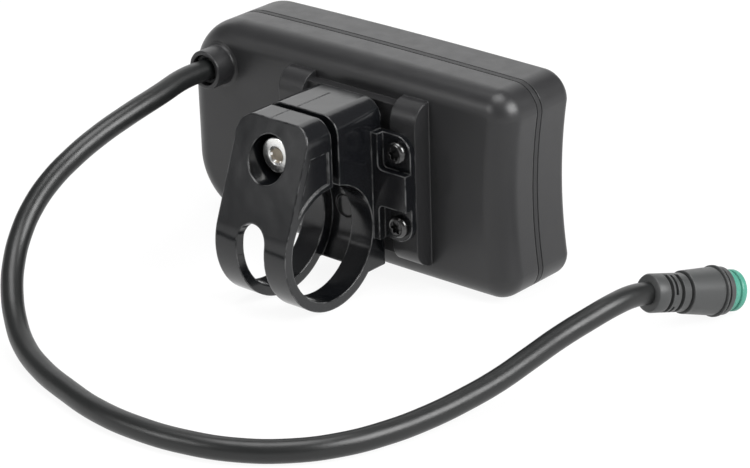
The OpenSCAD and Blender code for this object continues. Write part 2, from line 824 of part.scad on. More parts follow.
// Lead: a tube swept along the route with one ring at each point
function unit(v) = v / norm(v);
function heading(i) =
    let (p = lead_route, n = len(lead_route))
    i == 0 ? [0, 1, 0] :
    i == n - 1 ? plug_axis() :
    unit(unit(p[i + 1] - p[i]) + unit(p[i] - p[i - 1]));
function plug_axis() = [-sin(plug_heading) * cos(plug_tilt), -cos(plug_heading) * cos(plug_tilt), -sin(plug_tilt)];
function lead_ring(i) =
    let (t = heading(i), side = unit(cross(t, [0, 0, 1])), up = cross(side, t))
    [
        for (k = [0 : lead_sides - 1])
            let (a = 360 * (k + 0.5) / lead_sides)
            lead_point(i) + lead_d / 2 * (cos(a) * side + sin(a) * up)
    ];
function lead_point(i) = i == 0 ? [boss_x, gland_front, boss_z] : lead_route[i];

module lead() {
    color("#1d1e20") loft([for (i = [0 : len(lead_route) - 1]) lead_ring(i)]);
}

// Plug, drawn along its own axis from the lead's end
module plug_place() {
    translate(plug_at) rotate([90 + plug_tilt, 0, -plug_heading]) children();
}

module plug_body() {
    rear = plug_rear_d / 2;
    wide = plug_d / 2;
    step = rear + (wide - rear) / 3;
    step_at = plug_step_at_share * plug_body_l;
    wide_at = plug_wide_at_share * plug_body_l;
    lip = wide - plug_collar_drop;
    color(plug_colour) plug_place() difference() {
        rotate_extrude() polygon([
            [0, 0], [rear - plug_slot_depth, 0], [rear, plug_slot_depth], [rear, step_at], [step, step_at + plug_slot_depth],
            [wide, wide_at], [wide, wide_at + plug_slot_depth], [lip, wide_at + plug_slot_depth * 2], [lip, plug_body_l], [0, plug_body_l]
        ]);
        for (i = [1 : plug_slots]) {
            s = i * step_at / (plug_slots + 1);
            for (side = [0 : 2]) rotate([0, 0, 120 * side]) intersection() {
                translate([0, 0, s]) difference() {
                    cylinder(r = rear + over, h = plug_slot_w);
                    translate([0, 0, -over]) cylinder(r = rear - plug_slot_depth, h = plug_slot_w + 2 * over);
                }
                translate([0, -rear * 0.7, 0]) cube([plug_d, rear * 1.4, plug_body_l]);
            }
        }
        translate([0, 0, plug_body_l - plug_collar_l]) cylinder(r = plug_nose_d / 2 + fit_gap, h = plug_collar_l + over);
    }
}

module plug_nose() {
    r = plug_nose_d / 2;
    start = plug_body_l - plug_collar_l + fit_gap;
    l = plug_collar_l + plug_nose_l - fit_gap;
    round_edge = plug_wall / 3;
    groove = plug_wall / 4;
    color(nose_colour) plug_place() translate([0, 0, start]) rotate_extrude() polygon([
        [plug_core_d / 2, 0], [r, 0], [r, l - 0.55 * plug_nose_l], [r - groove, l - 0.5 * plug_nose_l], [r - groove, l - 0.4 * plug_nose_l],
        [r, l - 0.35 * plug_nose_l], [r, l - round_edge], [r - round_edge, l], [plug_core_d / 2, l]
    ]);
}

module plug_core() {
    r = plug_core_d / 2 - fit_gap;
    start = plug_body_l - plug_collar_l + fit_gap;
    l = plug_collar_l + plug_nose_l - fit_gap - plug_socket_depth;
    color("#2c2d30") plug_place() difference() {
        translate([0, 0, start]) cylinder(r = r, h = l);
        for (i = [0 : pin_count - 1]) rotate([0, 0, 360 * i / pin_count])
            translate([pin_circle_r, 0, start + l / 4]) cylinder(r = pin_d / 2 + thread_gap, h = l);
    }
}

module plug_pins() {
    l = plug_collar_l + plug_nose_l - fit_gap - plug_socket_depth;
    start = plug_body_l - plug_collar_l + fit_gap + l / 4 + fit_gap;
    color("gold") plug_place() for (i = [0 : pin_count - 1]) rotate([0, 0, 360 * i / pin_count])
        translate([pin_circle_r, 0, start]) cylinder(r = pin_d / 2, h = pin_l);
}

clamp_bracket();
clamp_screw();
clamp_nut();
flange_screws();
rear_shell();
shell_seal();
front_shell();
shell_screws();
front_film();
power_button();
plus_button();
minus_button();
plunger(0);  // power_plunger
plunger(1);  // plus_plunger
plunger(2);  // minus_plunger
button_seals();
switch_bodies();
light_guides();
light_chips();
circuit_board();
board_screws();
controller_chip();
supply_parts();
lead_header();
lead_wires();
cable_gland();
lead_tail();
lead();
plug_body();
plug_nose();
plug_core();
plug_pins();
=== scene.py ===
"""E-bike display on its bar clamp, dressed for rendering, with its lead and plug."""
import math

import bmesh
import bpy
from mathutils import Matrix, Vector


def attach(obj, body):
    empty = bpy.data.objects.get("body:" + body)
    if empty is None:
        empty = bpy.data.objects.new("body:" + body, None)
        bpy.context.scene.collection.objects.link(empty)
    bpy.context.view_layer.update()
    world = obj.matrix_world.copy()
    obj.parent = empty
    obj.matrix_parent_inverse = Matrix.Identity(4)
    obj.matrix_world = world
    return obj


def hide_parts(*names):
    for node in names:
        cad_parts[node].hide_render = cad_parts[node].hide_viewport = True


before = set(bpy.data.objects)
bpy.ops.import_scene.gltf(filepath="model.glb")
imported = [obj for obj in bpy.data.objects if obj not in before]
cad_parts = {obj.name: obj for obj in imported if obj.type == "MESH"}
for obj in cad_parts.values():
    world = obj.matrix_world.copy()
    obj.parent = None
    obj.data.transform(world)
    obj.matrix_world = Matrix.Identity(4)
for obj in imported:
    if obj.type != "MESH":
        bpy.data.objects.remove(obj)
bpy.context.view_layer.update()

bl_info = {
    "name": "E-bike display on a bar clamp",
    "version": (1, 0, 0),
    "blender": (4, 5, 0),
    "location": "View3D > Sidebar > Display",
    "description": "Dresses the packed display: housing, clamp, keys, lead, plug and stage",
    "category": "Object",
}

MM = 0.001
TURN = 2 * math.pi
# Gap between pieces that sit in each other, least chamfer on the housing, and reach of a cutter
FIT, LIP, OVER = 0.02 * MM, 0.05 * MM, 1 * MM
# Half the width and the depth of the thin slot that each seam of the housing leaves
SEAM, SEAM_DEPTH = 0.09 * MM, 0.6 * MM


# Settings
def linear(code):
    """Turns an sRGB hex colour into the linear colour that Blender works in."""
    parts = [int(code[i:i + 2], 16) / 255 for i in (1, 3, 5)]
    return [c / 12.92 if c <= 0.04045 else ((c + 0.055) / 1.055) ** 2.4 for c in parts] + [1.0]


def length(name, millimetres, description):
    """A length that a user may change, with its default in millimetres."""
    return bpy.props.FloatProperty(name=name, description=description, default=millimetres * MM,
                                   unit="LENGTH", subtype="DISTANCE", precision=5)


def colour(name, code, description):
    """A colour that a user may change, with its default as an sRGB hex value."""
    return bpy.props.FloatVectorProperty(name=name, description=description, default=linear(code),
                                         size=4, min=0.0, max=1.0, subtype="COLOR")


def tone(key):
    """The user's colour of that name, or the colour of a hex code."""
    return linear(key) if key[0] == "#" else list(getattr(bpy.context.scene.display_finishes, key))


def angle(name, degrees, description):
    """An angle that a user may change, with its default in degrees."""
    return bpy.props.FloatProperty(name=name, description=description, default=math.radians(degrees),
                                   subtype="ANGLE")


class HousingSizes(bpy.types.PropertyGroup):
    length: length("Length", 80.5, "Housing length, from the key end to the round end")
    height: length("Height", 41.8, "Housing height")
    side: length("Round end", 45.3, "Distance from the clamp's middle to the round end")
    back: length("Back plane", -18.2, "Place of the flat back along Y")
    rear_split: length("Rear seam", -27.2, "Place of the rear seam along Y")
    front_split: length("Front seam", -28.5, "Place of the front seam along Y")
    face: length("Front face", -37.1, "Place of the front face along Y")
    round_r: length("Round end radius", 12.5, "Corner radius at the round end")
    end_r: length("Key end radius", 5.2, "Corner radius at the key end")
    rear_edge_r: length("Rear edge radius", 4.7, "Fillet round the back")
    front_edge_r: length("Front edge radius", 1.8, "Fillet round the front")
    wall: length("Wall", 1.8, "Side wall")
    back_t: length("Back wall", 2.0, "Thickness of the back")
    face_t: length("Face wall", 1.6, "Thickness of the front")
    rib_proud: length("Rib height", 4.0, "Height of the two mounting ribs")
    rib_w: length("Rib width", 6.0, "Width of a mounting rib")
    boss_x: length("Boss X", 36.0, "Place of the lead's boss along X")
    boss_z: length("Boss Z", 20.0, "Place of the lead's boss along Z")
    boss_d: length("Boss diameter", 7.8, "Outside diameter of the boss")
    boss_proud: length("Boss height", 4.6, "How far the boss stands off the back")
    film_margin: length("Film margin", 3.2, "Rim of housing round the front film")
    key_d: length("Key diameter", 9.0, "Diameter of a key")
    key_proud: length("Key height", 0.8, "How far a key stands off the film")
    key_pitch: length("Key pitch", 11.5, "Distance between keys")
    key_inset: length("Key inset", 11.0, "Distance from the key end to the keys")
    light_d: length("Light window", 3.0, "Diameter of a light window")
    light_pitch: length("Light pitch", 9.0, "Distance between lights")
    light_inset: length("Light inset", 26.0, "Distance from the key end to the first light")
    row_pitch: length("Row pitch", 17.5, "Distance between the two rows of lights")


class ClampSizes(bpy.types.PropertyGroup):
    bar_d: length("Bar diameter", 22.2, "Diameter of the handlebar")
    ring_wall: length("Ring wall", 1.9, "Wall of the clamp ring")
    width: length("Width", 17.5, "Width of the clamp along the bar")
    top: length("Top", 24.0, "Height of the clamp over the bar's axis")
    lean: length("Strap lean", 4.7, "Place of the strap's top edge along Y")
    head_back: length("Strap back", -0.5, "Back of the strap's head along Y")
    arm_front: length("Arm front", -2.3, "Front of the arm along Y")
    reach: length("Reach", 14.2, "Distance from the bar's axis to the flange's seat")
    corner_r: length("Corner radius", 3.7, "Radius of the clamp's top corners")
    flange_w: length("Flange width", 33.6, "Width of the flange")
    flange_h: length("Flange height", 21.2, "Height of the flange")
    flange_t: length("Flange", 2.9, "Thickness of the flange")
    flange_r: length("Flange corner", 3.4, "Corner radius of the flange")
    ear_t: length("Ear", 1.3, "Thickness of the flange under the screws")
    screw_z: length("Clamp screw height", 17.0, "Height of the clamp screw over the bar's axis")
    head_seat: length("Screw seat", 1.0, "Seat of the clamp screw's head along Y")
    screw_d: length("Clamp screw", 4.0, "Diameter of the clamp screw")
    screw_l: length("Clamp screw length", 12.0, "Length of the clamp screw's shank")
    head_d: length("Clamp screw head", 7.0, "Diameter of the clamp screw's head")
    head_h: length("Clamp screw head height", 4.0, "Height of the clamp screw's head")
    flange_span: length("Screw span", 27.8, "Distance between the flange screws along X")
    flange_rise: length("Screw rise", 14.7, "Distance between the flange screws along Z")
    flange_head_d: length("Flange screw head", 4.3, "Diameter of a flange screw's head")
    flange_screw_d: length("Flange screw", 2.5, "Diameter of a flange screw")
    flange_screw_l: length("Flange screw length", 5.9, "Length of a flange screw's shank")


class LeadSizes(bpy.types.PropertyGroup):
    lead_d: length("Lead diameter", 4.2, "Diameter of the lead")
    lead_l: length("Lead length", 226.9, "Length of the lead from gland to plug")
    body_l: length("Plug body", 17.6, "Length of the plug body")
    rear_d: length("Plug rear", 7.1, "Diameter of the plug's rear")
    wide_d: length("Plug collar", 9.5, "Widest diameter of the plug")
    slot_w: length("Slot width", 0.85, "Width of the slots that let the plug's rear flex")
    nose_d: length("Nose diameter", 7.7, "Diameter of the nose")
    nose_l: length("Nose length", 3.2, "Length of nose that shows")
    collar_l: length("Nose seat", 2.6, "Depth of the nose's seat in the body")


class Finishes(bpy.types.PropertyGroup):
    housing: colour("Housing", "#212122", "Colour of the satin housing")
    clamp: colour("Clamp", "#0d0e10", "Colour of the glossy clamp")
    film: colour("Film", "#0e0f12", "Colour of the front film")
    key: colour("Keys", "#d8dade", "Colour of the keys")
    symbol: colour("Symbols", "#3a3c40", "Colour of the symbols on the keys")
    sheath: colour("Lead", "#161717", "Colour of the lead's sheath")
    plug: colour("Plug", "#3a3b3b", "Colour of the plug body")
    nose: colour("Nose", "#3f7d6d", "Colour of the plug's nose")
    steel: colour("Steel", "#f6f6f4", "Colour of the stainless clamp screw")
    black_steel: colour("Black steel", "#5c5c5c", "Colour of the blacked flange screws")
    floor: colour("Floor", "#f4f4f4", "Colour of the floor")


class CameraSettings(bpy.types.PropertyGroup):
    azimuth: angle("Azimuth", 221.76, "Turn of the camera round the display")
    elevation: angle("Elevation", 23.51, "Height angle of the camera")
    roll: angle("Roll", -1.8, "Tilt of the camera about its line of sight")
    place: bpy.props.FloatVectorProperty(name="Place", description="Place of the camera", size=3,
                                         default=(-0.3382, 0.3574, 0.2132), subtype="TRANSLATION",
                                         unit="LENGTH")
    lens: bpy.props.FloatProperty(name="Lens", description="Focal length on a 36 mm sensor",
                                  default=138.8, unit="CAMERA")


# Outlines and solids
def arc(start, end, steps):
    """Angles in radians from one angle to another, which are given in degrees."""
    return [math.radians(start + (end - start) * k / steps) for k in range(steps + 1)]


def bend(x, z, radius, angles):
    """Points round a centre at some angles, as pairs."""
    return [(x + radius * math.cos(a), z + radius * math.sin(a)) for a in angles]


def circle(x, z, radius, count=96):
    """Points of a circle, as pairs."""
    return bend(x, z, radius, [TURN * i / count for i in range(count)])


def hexagon(x, z, flats):
    """Corners of a hexagon, as pairs, from its size across the flats."""
    return circle(x, z, flats / 2 / math.cos(math.radians(30)), 6)


def lobed(radius, lobe, count=72):
    """Outline of a six-lobe recess, as pairs round the origin."""
    return [bend(0, 0, radius + lobe * math.cos(6 * TURN * i / count), [TURN * i / count])[0]
            for i in range(count)]


def rounded(low, high, radius, steps=12):
    """Points of a rectangle with round corners, as pairs."""
    left, right, bottom, top = low[0] + radius, high[0] - radius, low[1] + radius, high[1] - radius
    corners = ((right, bottom), (right, top), (left, top), (left, bottom))
    return [p for i, (x, z) in enumerate(corners)
            for p in bend(x, z, radius, arc(90 * i - 90, 90 * i, steps))]


def housing_outline(s, inset, y, corner_steps=20, side_steps=28):
    """Outline of the housing at an inset, as points at one place along Y."""
    mid_x, mid_z, half_l, half_h = s.side - s.length / 2, housing_mid_z(), s.length / 2, s.height / 2
    x0, x1, z0, z1 = s.side - s.length + inset, s.side - inset, mid_z - half_h + inset, mid_z + half_h - inset
    rr, re = s.round_r - inset, max(s.end_r - inset, LIP)
    corners = ((x1 - rr, z0 + rr, rr, -90), (x1 - rr, z1 - rr, rr, 0),
               (x0 + re, z1 - re, re, 90), (x0 + re, z0 + re, re, 180))
    flat = []
    for i, (cx, cz, r, start) in enumerate(corners):
        flat += bend(cx, cz, r, arc(start, start + 90, corner_steps))
        cx, cz, r, start = corners[(i + 1) % 4]
        p, q = flat[-1], bend(cx, cz, r, [math.radians(start)])[0]
        flat += [(p[0] + (q[0] - p[0]) * k / side_steps, p[1] + (q[1] - p[1]) * k / side_steps)
                 for k in range(1, side_steps)]
    # The long sides bow by the crown; the hollow lies between the key end's corners and fades out from there
    hollow, crown = 1.2 * MM, 0.4 * MM
    hollow_v, fade_from, fade_over = 1 - 2 * s.end_r / s.height, 0.5, 0.3
    points = []
    for x, z in flat:
        u, v = (x - mid_x) / half_l, (z - mid_z) / half_h
        share = min(1, max(0, (-u - fade_from) / fade_over))
        points.append(Vector((x + hollow * max(0, 1 - (v / hollow_v) ** 2) * share, y,
                              mid_z + (z - mid_z) * (1 - crown / half_h * u * u))))
    return points


def clamp_ring_r():
    """Outside radius of the clamp ring, which the housing's underside lines up with."""
    c = bpy.context.scene.display_clamp
    return c.bar_d / 2 + c.ring_wall


def housing_mid_z():
    """Height of the housing's middle."""
    return bpy.context.scene.display_housing.height / 2 - clamp_ring_r()


def faces_mesh(name, points, faces):
    """Mesh from points and faces, with its normals turned outwards."""
    bm = bmesh.new()
    made = [bm.verts.new(p) for p in points]
    for f in faces:
        bm.faces.new([made[i] for i in f])
    bmesh.ops.recalc_face_normals(bm, faces=bm.faces)
    mesh = bpy.data.meshes.new(name)
    bm.to_mesh(mesh)
    bm.free()
    return mesh


def lofted(name, rings, closed=False):
    """Solid through rings of equal length, capped at both ends or joined end to end."""
    n, m = len(rings[0]), len(rings)
    points = [p for ring in rings for p in ring]
    faces = [(j * n + i, j * n + (i + 1) % n, ((j + 1) % m) * n + (i + 1) % n, ((j + 1) % m) * n + i)
             for j in range(m if closed else m - 1) for i in range(n)]
    if not closed:
        faces += [tuple(range(n)), tuple((m - 1) * n + i for i in range(n))]
    return faces_mesh(name, points, faces)


def prism(points, axis, low, high):
    """Straight solid on an outline, along X from [y, z] pairs or along Y from [x, z] pairs."""
    place = (lambda p, t: (t, p[0], p[1])) if axis == "X" else (lambda p, t: (p[0], t, p[1]))
    return lofted("form", [[Vector(place(p, t)) for p in points] for t in (low, high)])


def block(low, high):
    """Rectangular solid from one corner to the other."""
    outline = [(low[0], low[2]), (high[0], low[2]), (high[0], high[2]), (low[0], high[2])]
    return prism(outline, "Y", low[1], high[1])


def drill(x, z, radius, low, high, count=96):
    """Round solid along Y."""
    return prism(circle(x, z, radius, count), "Y", low, high)


def drum(radius, half, count=180):
    """Round solid on the bar's axis, along X."""
    return prism(circle(0, 0, radius, count), "X", -half, half)


def turned(name, profile, place, count=96):
    """Solid of revolution from [radius, height] pairs, closed where the radius is zero."""
    points, faces, rows = [], [], []
    for r, h in profile:
        if r <= 0:
            rows.append([len(points)] * count)
            points.append(place @ Vector((0, 0, h)))
        else:
            rows.append(list(range(len(points), len(points) + count)))
            points += [place @ Vector((x, y, h)) for x, y in circle(0, 0, r, count)]
    for a, b in zip(rows, rows[1:] + ([] if profile[0][0] <= 0 else [rows[0]])):
        for i in range(count):
            k = (i + 1) % count
            face = [a[i], a[k], b[k], b[i]]
            face = [v for j, v in enumerate(face) if v != face[j - 1]]
            if len(face) > 2:
                faces.append(face)
    return faces_mesh(name, points, faces)


def along_y(x, z, y=0.0):
    """Placing that turns a profile's height into the +Y direction."""
    return Matrix.Translation((x, y, z)) @ Matrix.Rotation(math.radians(-90), 4, "X")


def placed(name, data):
    """A new object in the scene."""
    item = bpy.data.objects.new(name, data)
    bpy.context.scene.collection.objects.link(item)
    return item


def joined(name, meshes):
    """One mesh from several, each keeping its own shell."""
    bm = bmesh.new()
    for mesh in meshes:
        bm.from_mesh(mesh)
    whole = bpy.data.meshes.new(name)
    bm.to_mesh(whole)
    bm.free()
    return whole


def combined(name, first, others, operation):
    """Runs an exact boolean of the first mesh with each of the others."""
    forms = [placed("form", mesh) for mesh in [first, *others]]
    for other in forms[1:]:
        step = forms[0].modifiers.new("step", "BOOLEAN")
        step.operation = operation
        step.solver = "EXACT"
        step.object = other
    graph = bpy.context.evaluated_depsgraph_get()
    mesh = bpy.data.meshes.new_from_object(forms[0].evaluated_get(graph))
    mesh.name = name
    for form in forms:
        bpy.data.objects.remove(form)
    if not mesh.polygons:
        raise RuntimeError(f"{name}: the {operation.lower()} left nothing")
    return mesh


def piece(name, mesh, materials, nodes=(), body="display", sharp=32):
    """Puts a finished mesh in the scene, on its body, in place of the nodes it stands for."""
    mesh.shade_smooth()
    mesh.set_sharp_from_angle(angle=math.radians(sharp))
    mesh.materials.clear()
    for material in materials:
        mesh.materials.append(material)
    item = placed(name, mesh)
    even = item.modifiers.new("even shading", "WEIGHTED_NORMAL")
    even.keep_sharp = True
    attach(item, body)
    if nodes:
        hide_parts(*nodes)
    return item


# Materials
def add(tree, kind, settings=None, values=None, links=None):
    """Adds one shader node with its settings and fixed values, and links sockets or first outputs to it."""
    made = tree.nodes.new("ShaderNode" + kind)
    for key, value in (settings or {}).items():
        setattr(made, key, value)
    for key, value in (values or {}).items():
        made.inputs[key].default_value = value
    for key, source in (links or {}).items():
        tree.links.new(source.outputs[0] if hasattr(source, "outputs") else source, made.inputs[key])
    return made


def fresh(name):
    """A new material with an empty tree and its place coordinates."""
    material = bpy.data.materials.new(name)
    material.use_nodes = True
    material.node_tree.nodes.clear()
    return material, material.node_tree, {"Vector": add(material.node_tree, "TexCoord").outputs["Object"]}


def scaled(tint, factor):
    """A colour made lighter or darker, and opaque."""
    return [min(1, c * factor) for c in tint[:3]] + [1]


def moulded(name, tint, roughness, grain, relief, edge=0.25, mottle=0.10, wear_and_glint=0.25, drift=0.08,
            wave=0.0, sheen=0.32):
    """Moulded plastic: tool grain, flow mottling and rounded edges painted paler, partly as wear and partly
    as a painted highlight; sizes in mm.
    """
    flow_mark, haze, sink_mark, glint_and_rub_reach, paler = 7 * MM, 2.5 * MM, 5 * MM, 0.6 * MM, 0.10
    material, tree, place = fresh(name)
    tint = tone(tint)
    flow = add(tree, "TexNoise", values={"Scale": 1 / flow_mark, "Detail": 3.0}, links=place)
    mixed = add(tree, "Mix", {"data_type": "RGBA"},
                {6: scaled(tint, 1 - mottle), 7: scaled(tint, 1 + mottle)}, {0: flow})
    # Edges are painted paler where the rounded normal leaves the flat one, in patches, and only where they
    # stand out: partly rubbed wear, partly a painted highlight on the edges
    bevel = add(tree, "Bevel", {"samples": 6}, {"Radius": edge * MM})
    flat = add(tree, "NewGeometry").outputs["Normal"]
    facing = add(tree, "VectorMath", {"operation": "DOT_PRODUCT"}, links={0: bevel, 1: flat})
    edge_rub_and_glint = add(tree, "MapRange", values={"From Min": 0.9, "From Max": 0.995, "To Min": wear_and_glint, "To Max": 0.0},
                 links={"Value": facing.outputs["Value"]})
    cloud = add(tree, "TexNoise", values={"Scale": 1 / haze, "Detail": 4.0}, links=place)
    patchy = add(tree, "MapRange", values={"From Min": 0.4, "From Max": 0.6}, links={"Value": cloud})
    outward = add(tree, "AmbientOcclusion", {"samples": 4}, {"Distance": glint_and_rub_reach})
    uneven = add(tree, "Math", {"operation": "MULTIPLY"}, links={0: edge_rub_and_glint, 1: patchy})
    share = add(tree, "Math", {"operation": "MULTIPLY"}, links={0: uneven, 1: outward.outputs["AO"]})
    pale = [c + (1 - c) * paler for c in tint[:3]] + [1]
    worn_and_glinting = add(tree, "Mix", {"data_type": "RGBA"}, {7: pale}, {0: share, 6: mixed.outputs[2]})
    gloss = add(tree, "MapRange", values={"To Min": roughness - drift, "To Max": roughness + drift},
                links={"Value": cloud})
    normal = bevel
    if wave:
        swell = add(tree, "TexNoise", values={"Scale": 1 / sink_mark, "Detail": 1.0}, links=place)
        normal = add(tree, "Bump", values={"Distance": wave * MM}, links={"Height": swell, "Normal": bevel})
    speck = add(tree, "TexNoise", values={"Scale": 1 / (grain * MM), "Detail": 2.0, "Roughness": 0.6},
                links=place)
    bump = add(tree, "Bump", values={"Distance": relief * MM}, links={"Height": speck, "Normal": normal})
    shader = add(tree, "BsdfPrincipled", values={"IOR": 1.5, "Specular IOR Level": sheen},
                 links={"Base Color": worn_and_glinting.outputs[2], "Roughness": gloss, "Normal": bump})
    add(tree, "OutputMaterial", links={"Surface": shader})
    return material


def machined(name, tint, roughness, marks, relief, edge=0.12, spread=0.10, cloudy=0.28):
    """Turned or plated metal: fine tool marks, cloudy polish and bright rounded edges; sizes in mm."""
    polish_cloud, stretch = 1.2 * MM, (1.0, 6.0, 1.0)
    material, tree, place = fresh(name)
    tint = tone(tint)
    cloud = add(tree, "TexNoise", values={"Scale": 1 / polish_cloud, "Detail": 5.0}, links=place)
    mixed = add(tree, "Mix", {"data_type": "RGBA"}, {6: scaled(tint, 1 - cloudy), 7: tint}, {0: cloud})
    gloss = add(tree, "MapRange", values={"To Min": roughness - spread, "To Max": roughness + spread},
                links={"Value": cloud})
    drawn_out = add(tree, "Mapping", values={"Scale": stretch}, links=place)
    lines = add(tree, "TexNoise", values={"Scale": 1 / (marks * MM), "Detail": 3.0},
                links={"Vector": drawn_out})
    bevel = add(tree, "Bevel", {"samples": 6}, {"Radius": edge * MM})
    bump = add(tree, "Bump", values={"Distance": relief * MM}, links={"Height": lines, "Normal": bevel})
    shader = add(tree, "BsdfPrincipled", values={"Metallic": 1.0},
                 links={"Base Color": mixed.outputs[2], "Roughness": gloss, "Normal": bump})
    add(tree, "OutputMaterial", links={"Surface": shader})
    return material


def housing_abs(name="satin moulded ABS"):
    """ABS from a spark-eroded mould: an even satin with a fine pebble, its grain drawn at 0.28 mm to show."""
    return moulded(name, "housing", 0.36, 0.28, 0.010, edge=0.3, mottle=0.05, wear_and_glint=0.08, sheen=0.42)


def clamp_nylon():
    """Nylon from a polished mould: near-black gloss with slight sink marks that bend the reflections."""
    # Its strong pale edges are mostly a painted highlight, standing in for the glints along the clamp's edges
    return moulded("polished moulded nylon", "clamp", 0.15, 0.5,
                   0.0012, edge=0.45, mottle=0.04, wear_and_glint=0.9, drift=0.05, wave=0.05, sheen=0.48)


def sheath_pvc():
    """Extruded PVC: black satin with a skin like fine orange peel."""
    return moulded("extruded PVC sheath", "sheath", 0.35, 0.45, 0.010, mottle=0.08, wear_and_glint=0.0, sheen=0.45)


# Pieces
class DISPLAY_OT_camera(bpy.types.Operator):
    """Set the camera at the photograph's viewing angle."""

    bl_idname = "display.camera"
    bl_label = "Camera"

    def execute(self, context):
        s = context.scene.display_camera
        turn = (Matrix.Rotation(s.azimuth, 4, "Z") @ Matrix.Rotation(TURN / 4 - s.elevation, 4, "X")
                @ Matrix.Rotation(s.roll, 4, "Z"))
        camera = placed("camera", bpy.data.cameras.new("camera"))
        camera.data.sensor_width = 36
        camera.data.lens = s.lens
        camera.data.clip_start = 0.01
        camera.matrix_world = Matrix.Translation(s.place) @ turn
        context.scene.camera = camera
        context.scene.view_settings.view_transform = "Standard"
        return {"FINISHED"}


LEAD_ROUTE = [
    (36, -14.6, 20), (36, -8, 20), (35.6, -1, 19), (35.9, 7.5, 17.3), (36.7, 14.4, 15.2),
    (37.5, 20.5, 12.6), (38.2, 26, 9.4), (38.2, 30.8, 5.8), (37.2, 35, 2.2), (34.8, 39.4, -1.5),
    (31.4, 43.3, -4.7), (26, 47.6, -7.9), (20, 51.2, -9.7), (12, 54.5, -10.6), (3, 57, -10.9),
    (-7, 59.2, -10.9), (-17, 59.6, -10.9), (-27, 58.2, -10.9), (-36, 54.9, -10.9), (-43.2, 49.6, -10.9),
    (-48.2, 43, -10.9), (-51.5, 35, -10.9), (-53.7, 26.8, -10.6), (-55.4, 19, -9.8), (-56.6, 11.5, -8.8),
    (-57.4, 4, -7.4), (-58.1, -3.5, -6), (-59.4, -10.6, -4.6), (-60.7, -16.6, -3.5), (-61.25, -21.2, -3.5),
    (-61.67, -24.98, -4.24),
]
PLUG_HEADING = math.radians(15)
PLUG_TILT = math.radians(14)


def plug_place():
    """Placing of the plug, whose own axis runs from the lead's end to its nose."""
    return (Matrix.Translation(Vector(LEAD_ROUTE[-1]) * MM) @ Matrix.Rotation(-PLUG_HEADING, 4, "Z")
            @ Matrix.Rotation(math.radians(90) + PLUG_TILT, 4, "X"))


def plug_body_mesh(s):
    """Plug body: a slotted rear that flexes, a step, a cone, a collar between grooves, the nose's seat."""
    rear, wide, nose = s.rear_d / 2, s.wide_d / 2, s.nose_d / 2
    step, step_at, wide_at = rear + (wide - rear) / 3, 0.43 * s.body_l, 0.872 * s.body_l
    cut, e, deep, cone_drop, lip_drop = 0.5 * MM, 0.1 * MM, 0.6 * MM, 0.32 * MM, 0.3 * MM
    lip, lip_at = wide - lip_drop, wide_at + 2 * cut + e
    body = turned("plug_shell", [
        (0, 0), (rear - cut, 0), (rear - cut * 0.4, cut * 0.25), (rear, cut), (rear, step_at - e),
        (rear - e, step_at), (rear - deep, step_at), (rear - deep, step_at + cut - e),
        (step - e, step_at + cut - e), (step, step_at + cut), (wide - cone_drop, wide_at - cut),
        (wide - deep, wide_at - cut + e), (wide - deep, wide_at - e), (wide - e, wide_at),
        (wide, wide_at + e), (wide, wide_at + cut - e), (wide - e, wide_at + cut),
        (wide - deep - e, wide_at + cut + e), (wide - deep - e, lip_at), (lip - e, lip_at),
        (lip, lip_at + e), (lip, s.body_l - 2 * e), (lip - 2 * e, s.body_l), (nose + LIP, s.body_l),
        (nose + FIT, s.body_l - s.collar_l), (0, s.body_l - s.collar_l),
    ], Matrix.Identity(4), 120)
    # Three rows of slots on each side, the middle one thinner and broken in two; sweeps are in degrees
    thin, slot_r, cutters = 0.7 * s.slot_w, rear - 0.8 * MM, []
    for at, tall, start, end in ((step_at / 3, s.slot_w, 92, 240), (step_at / 2, thin, 96, 168),
                                 (step_at / 2, thin, 206, 240), (2 * step_at / 3, s.slot_w, 92, 240)):
        for half in (0, 180):
            sweep = arc(half + start, half + end, 32)
            rim = bend(0, 0, rear + OVER, sweep) + bend(0, 0, slot_r, reversed(sweep))
            cutters.append(lofted("slot", [[Vector((x, y, z)) for x, y in rim] for z in (at, at + tall)]))
    return combined("plug_shell", body, cutters, "DIFFERENCE")


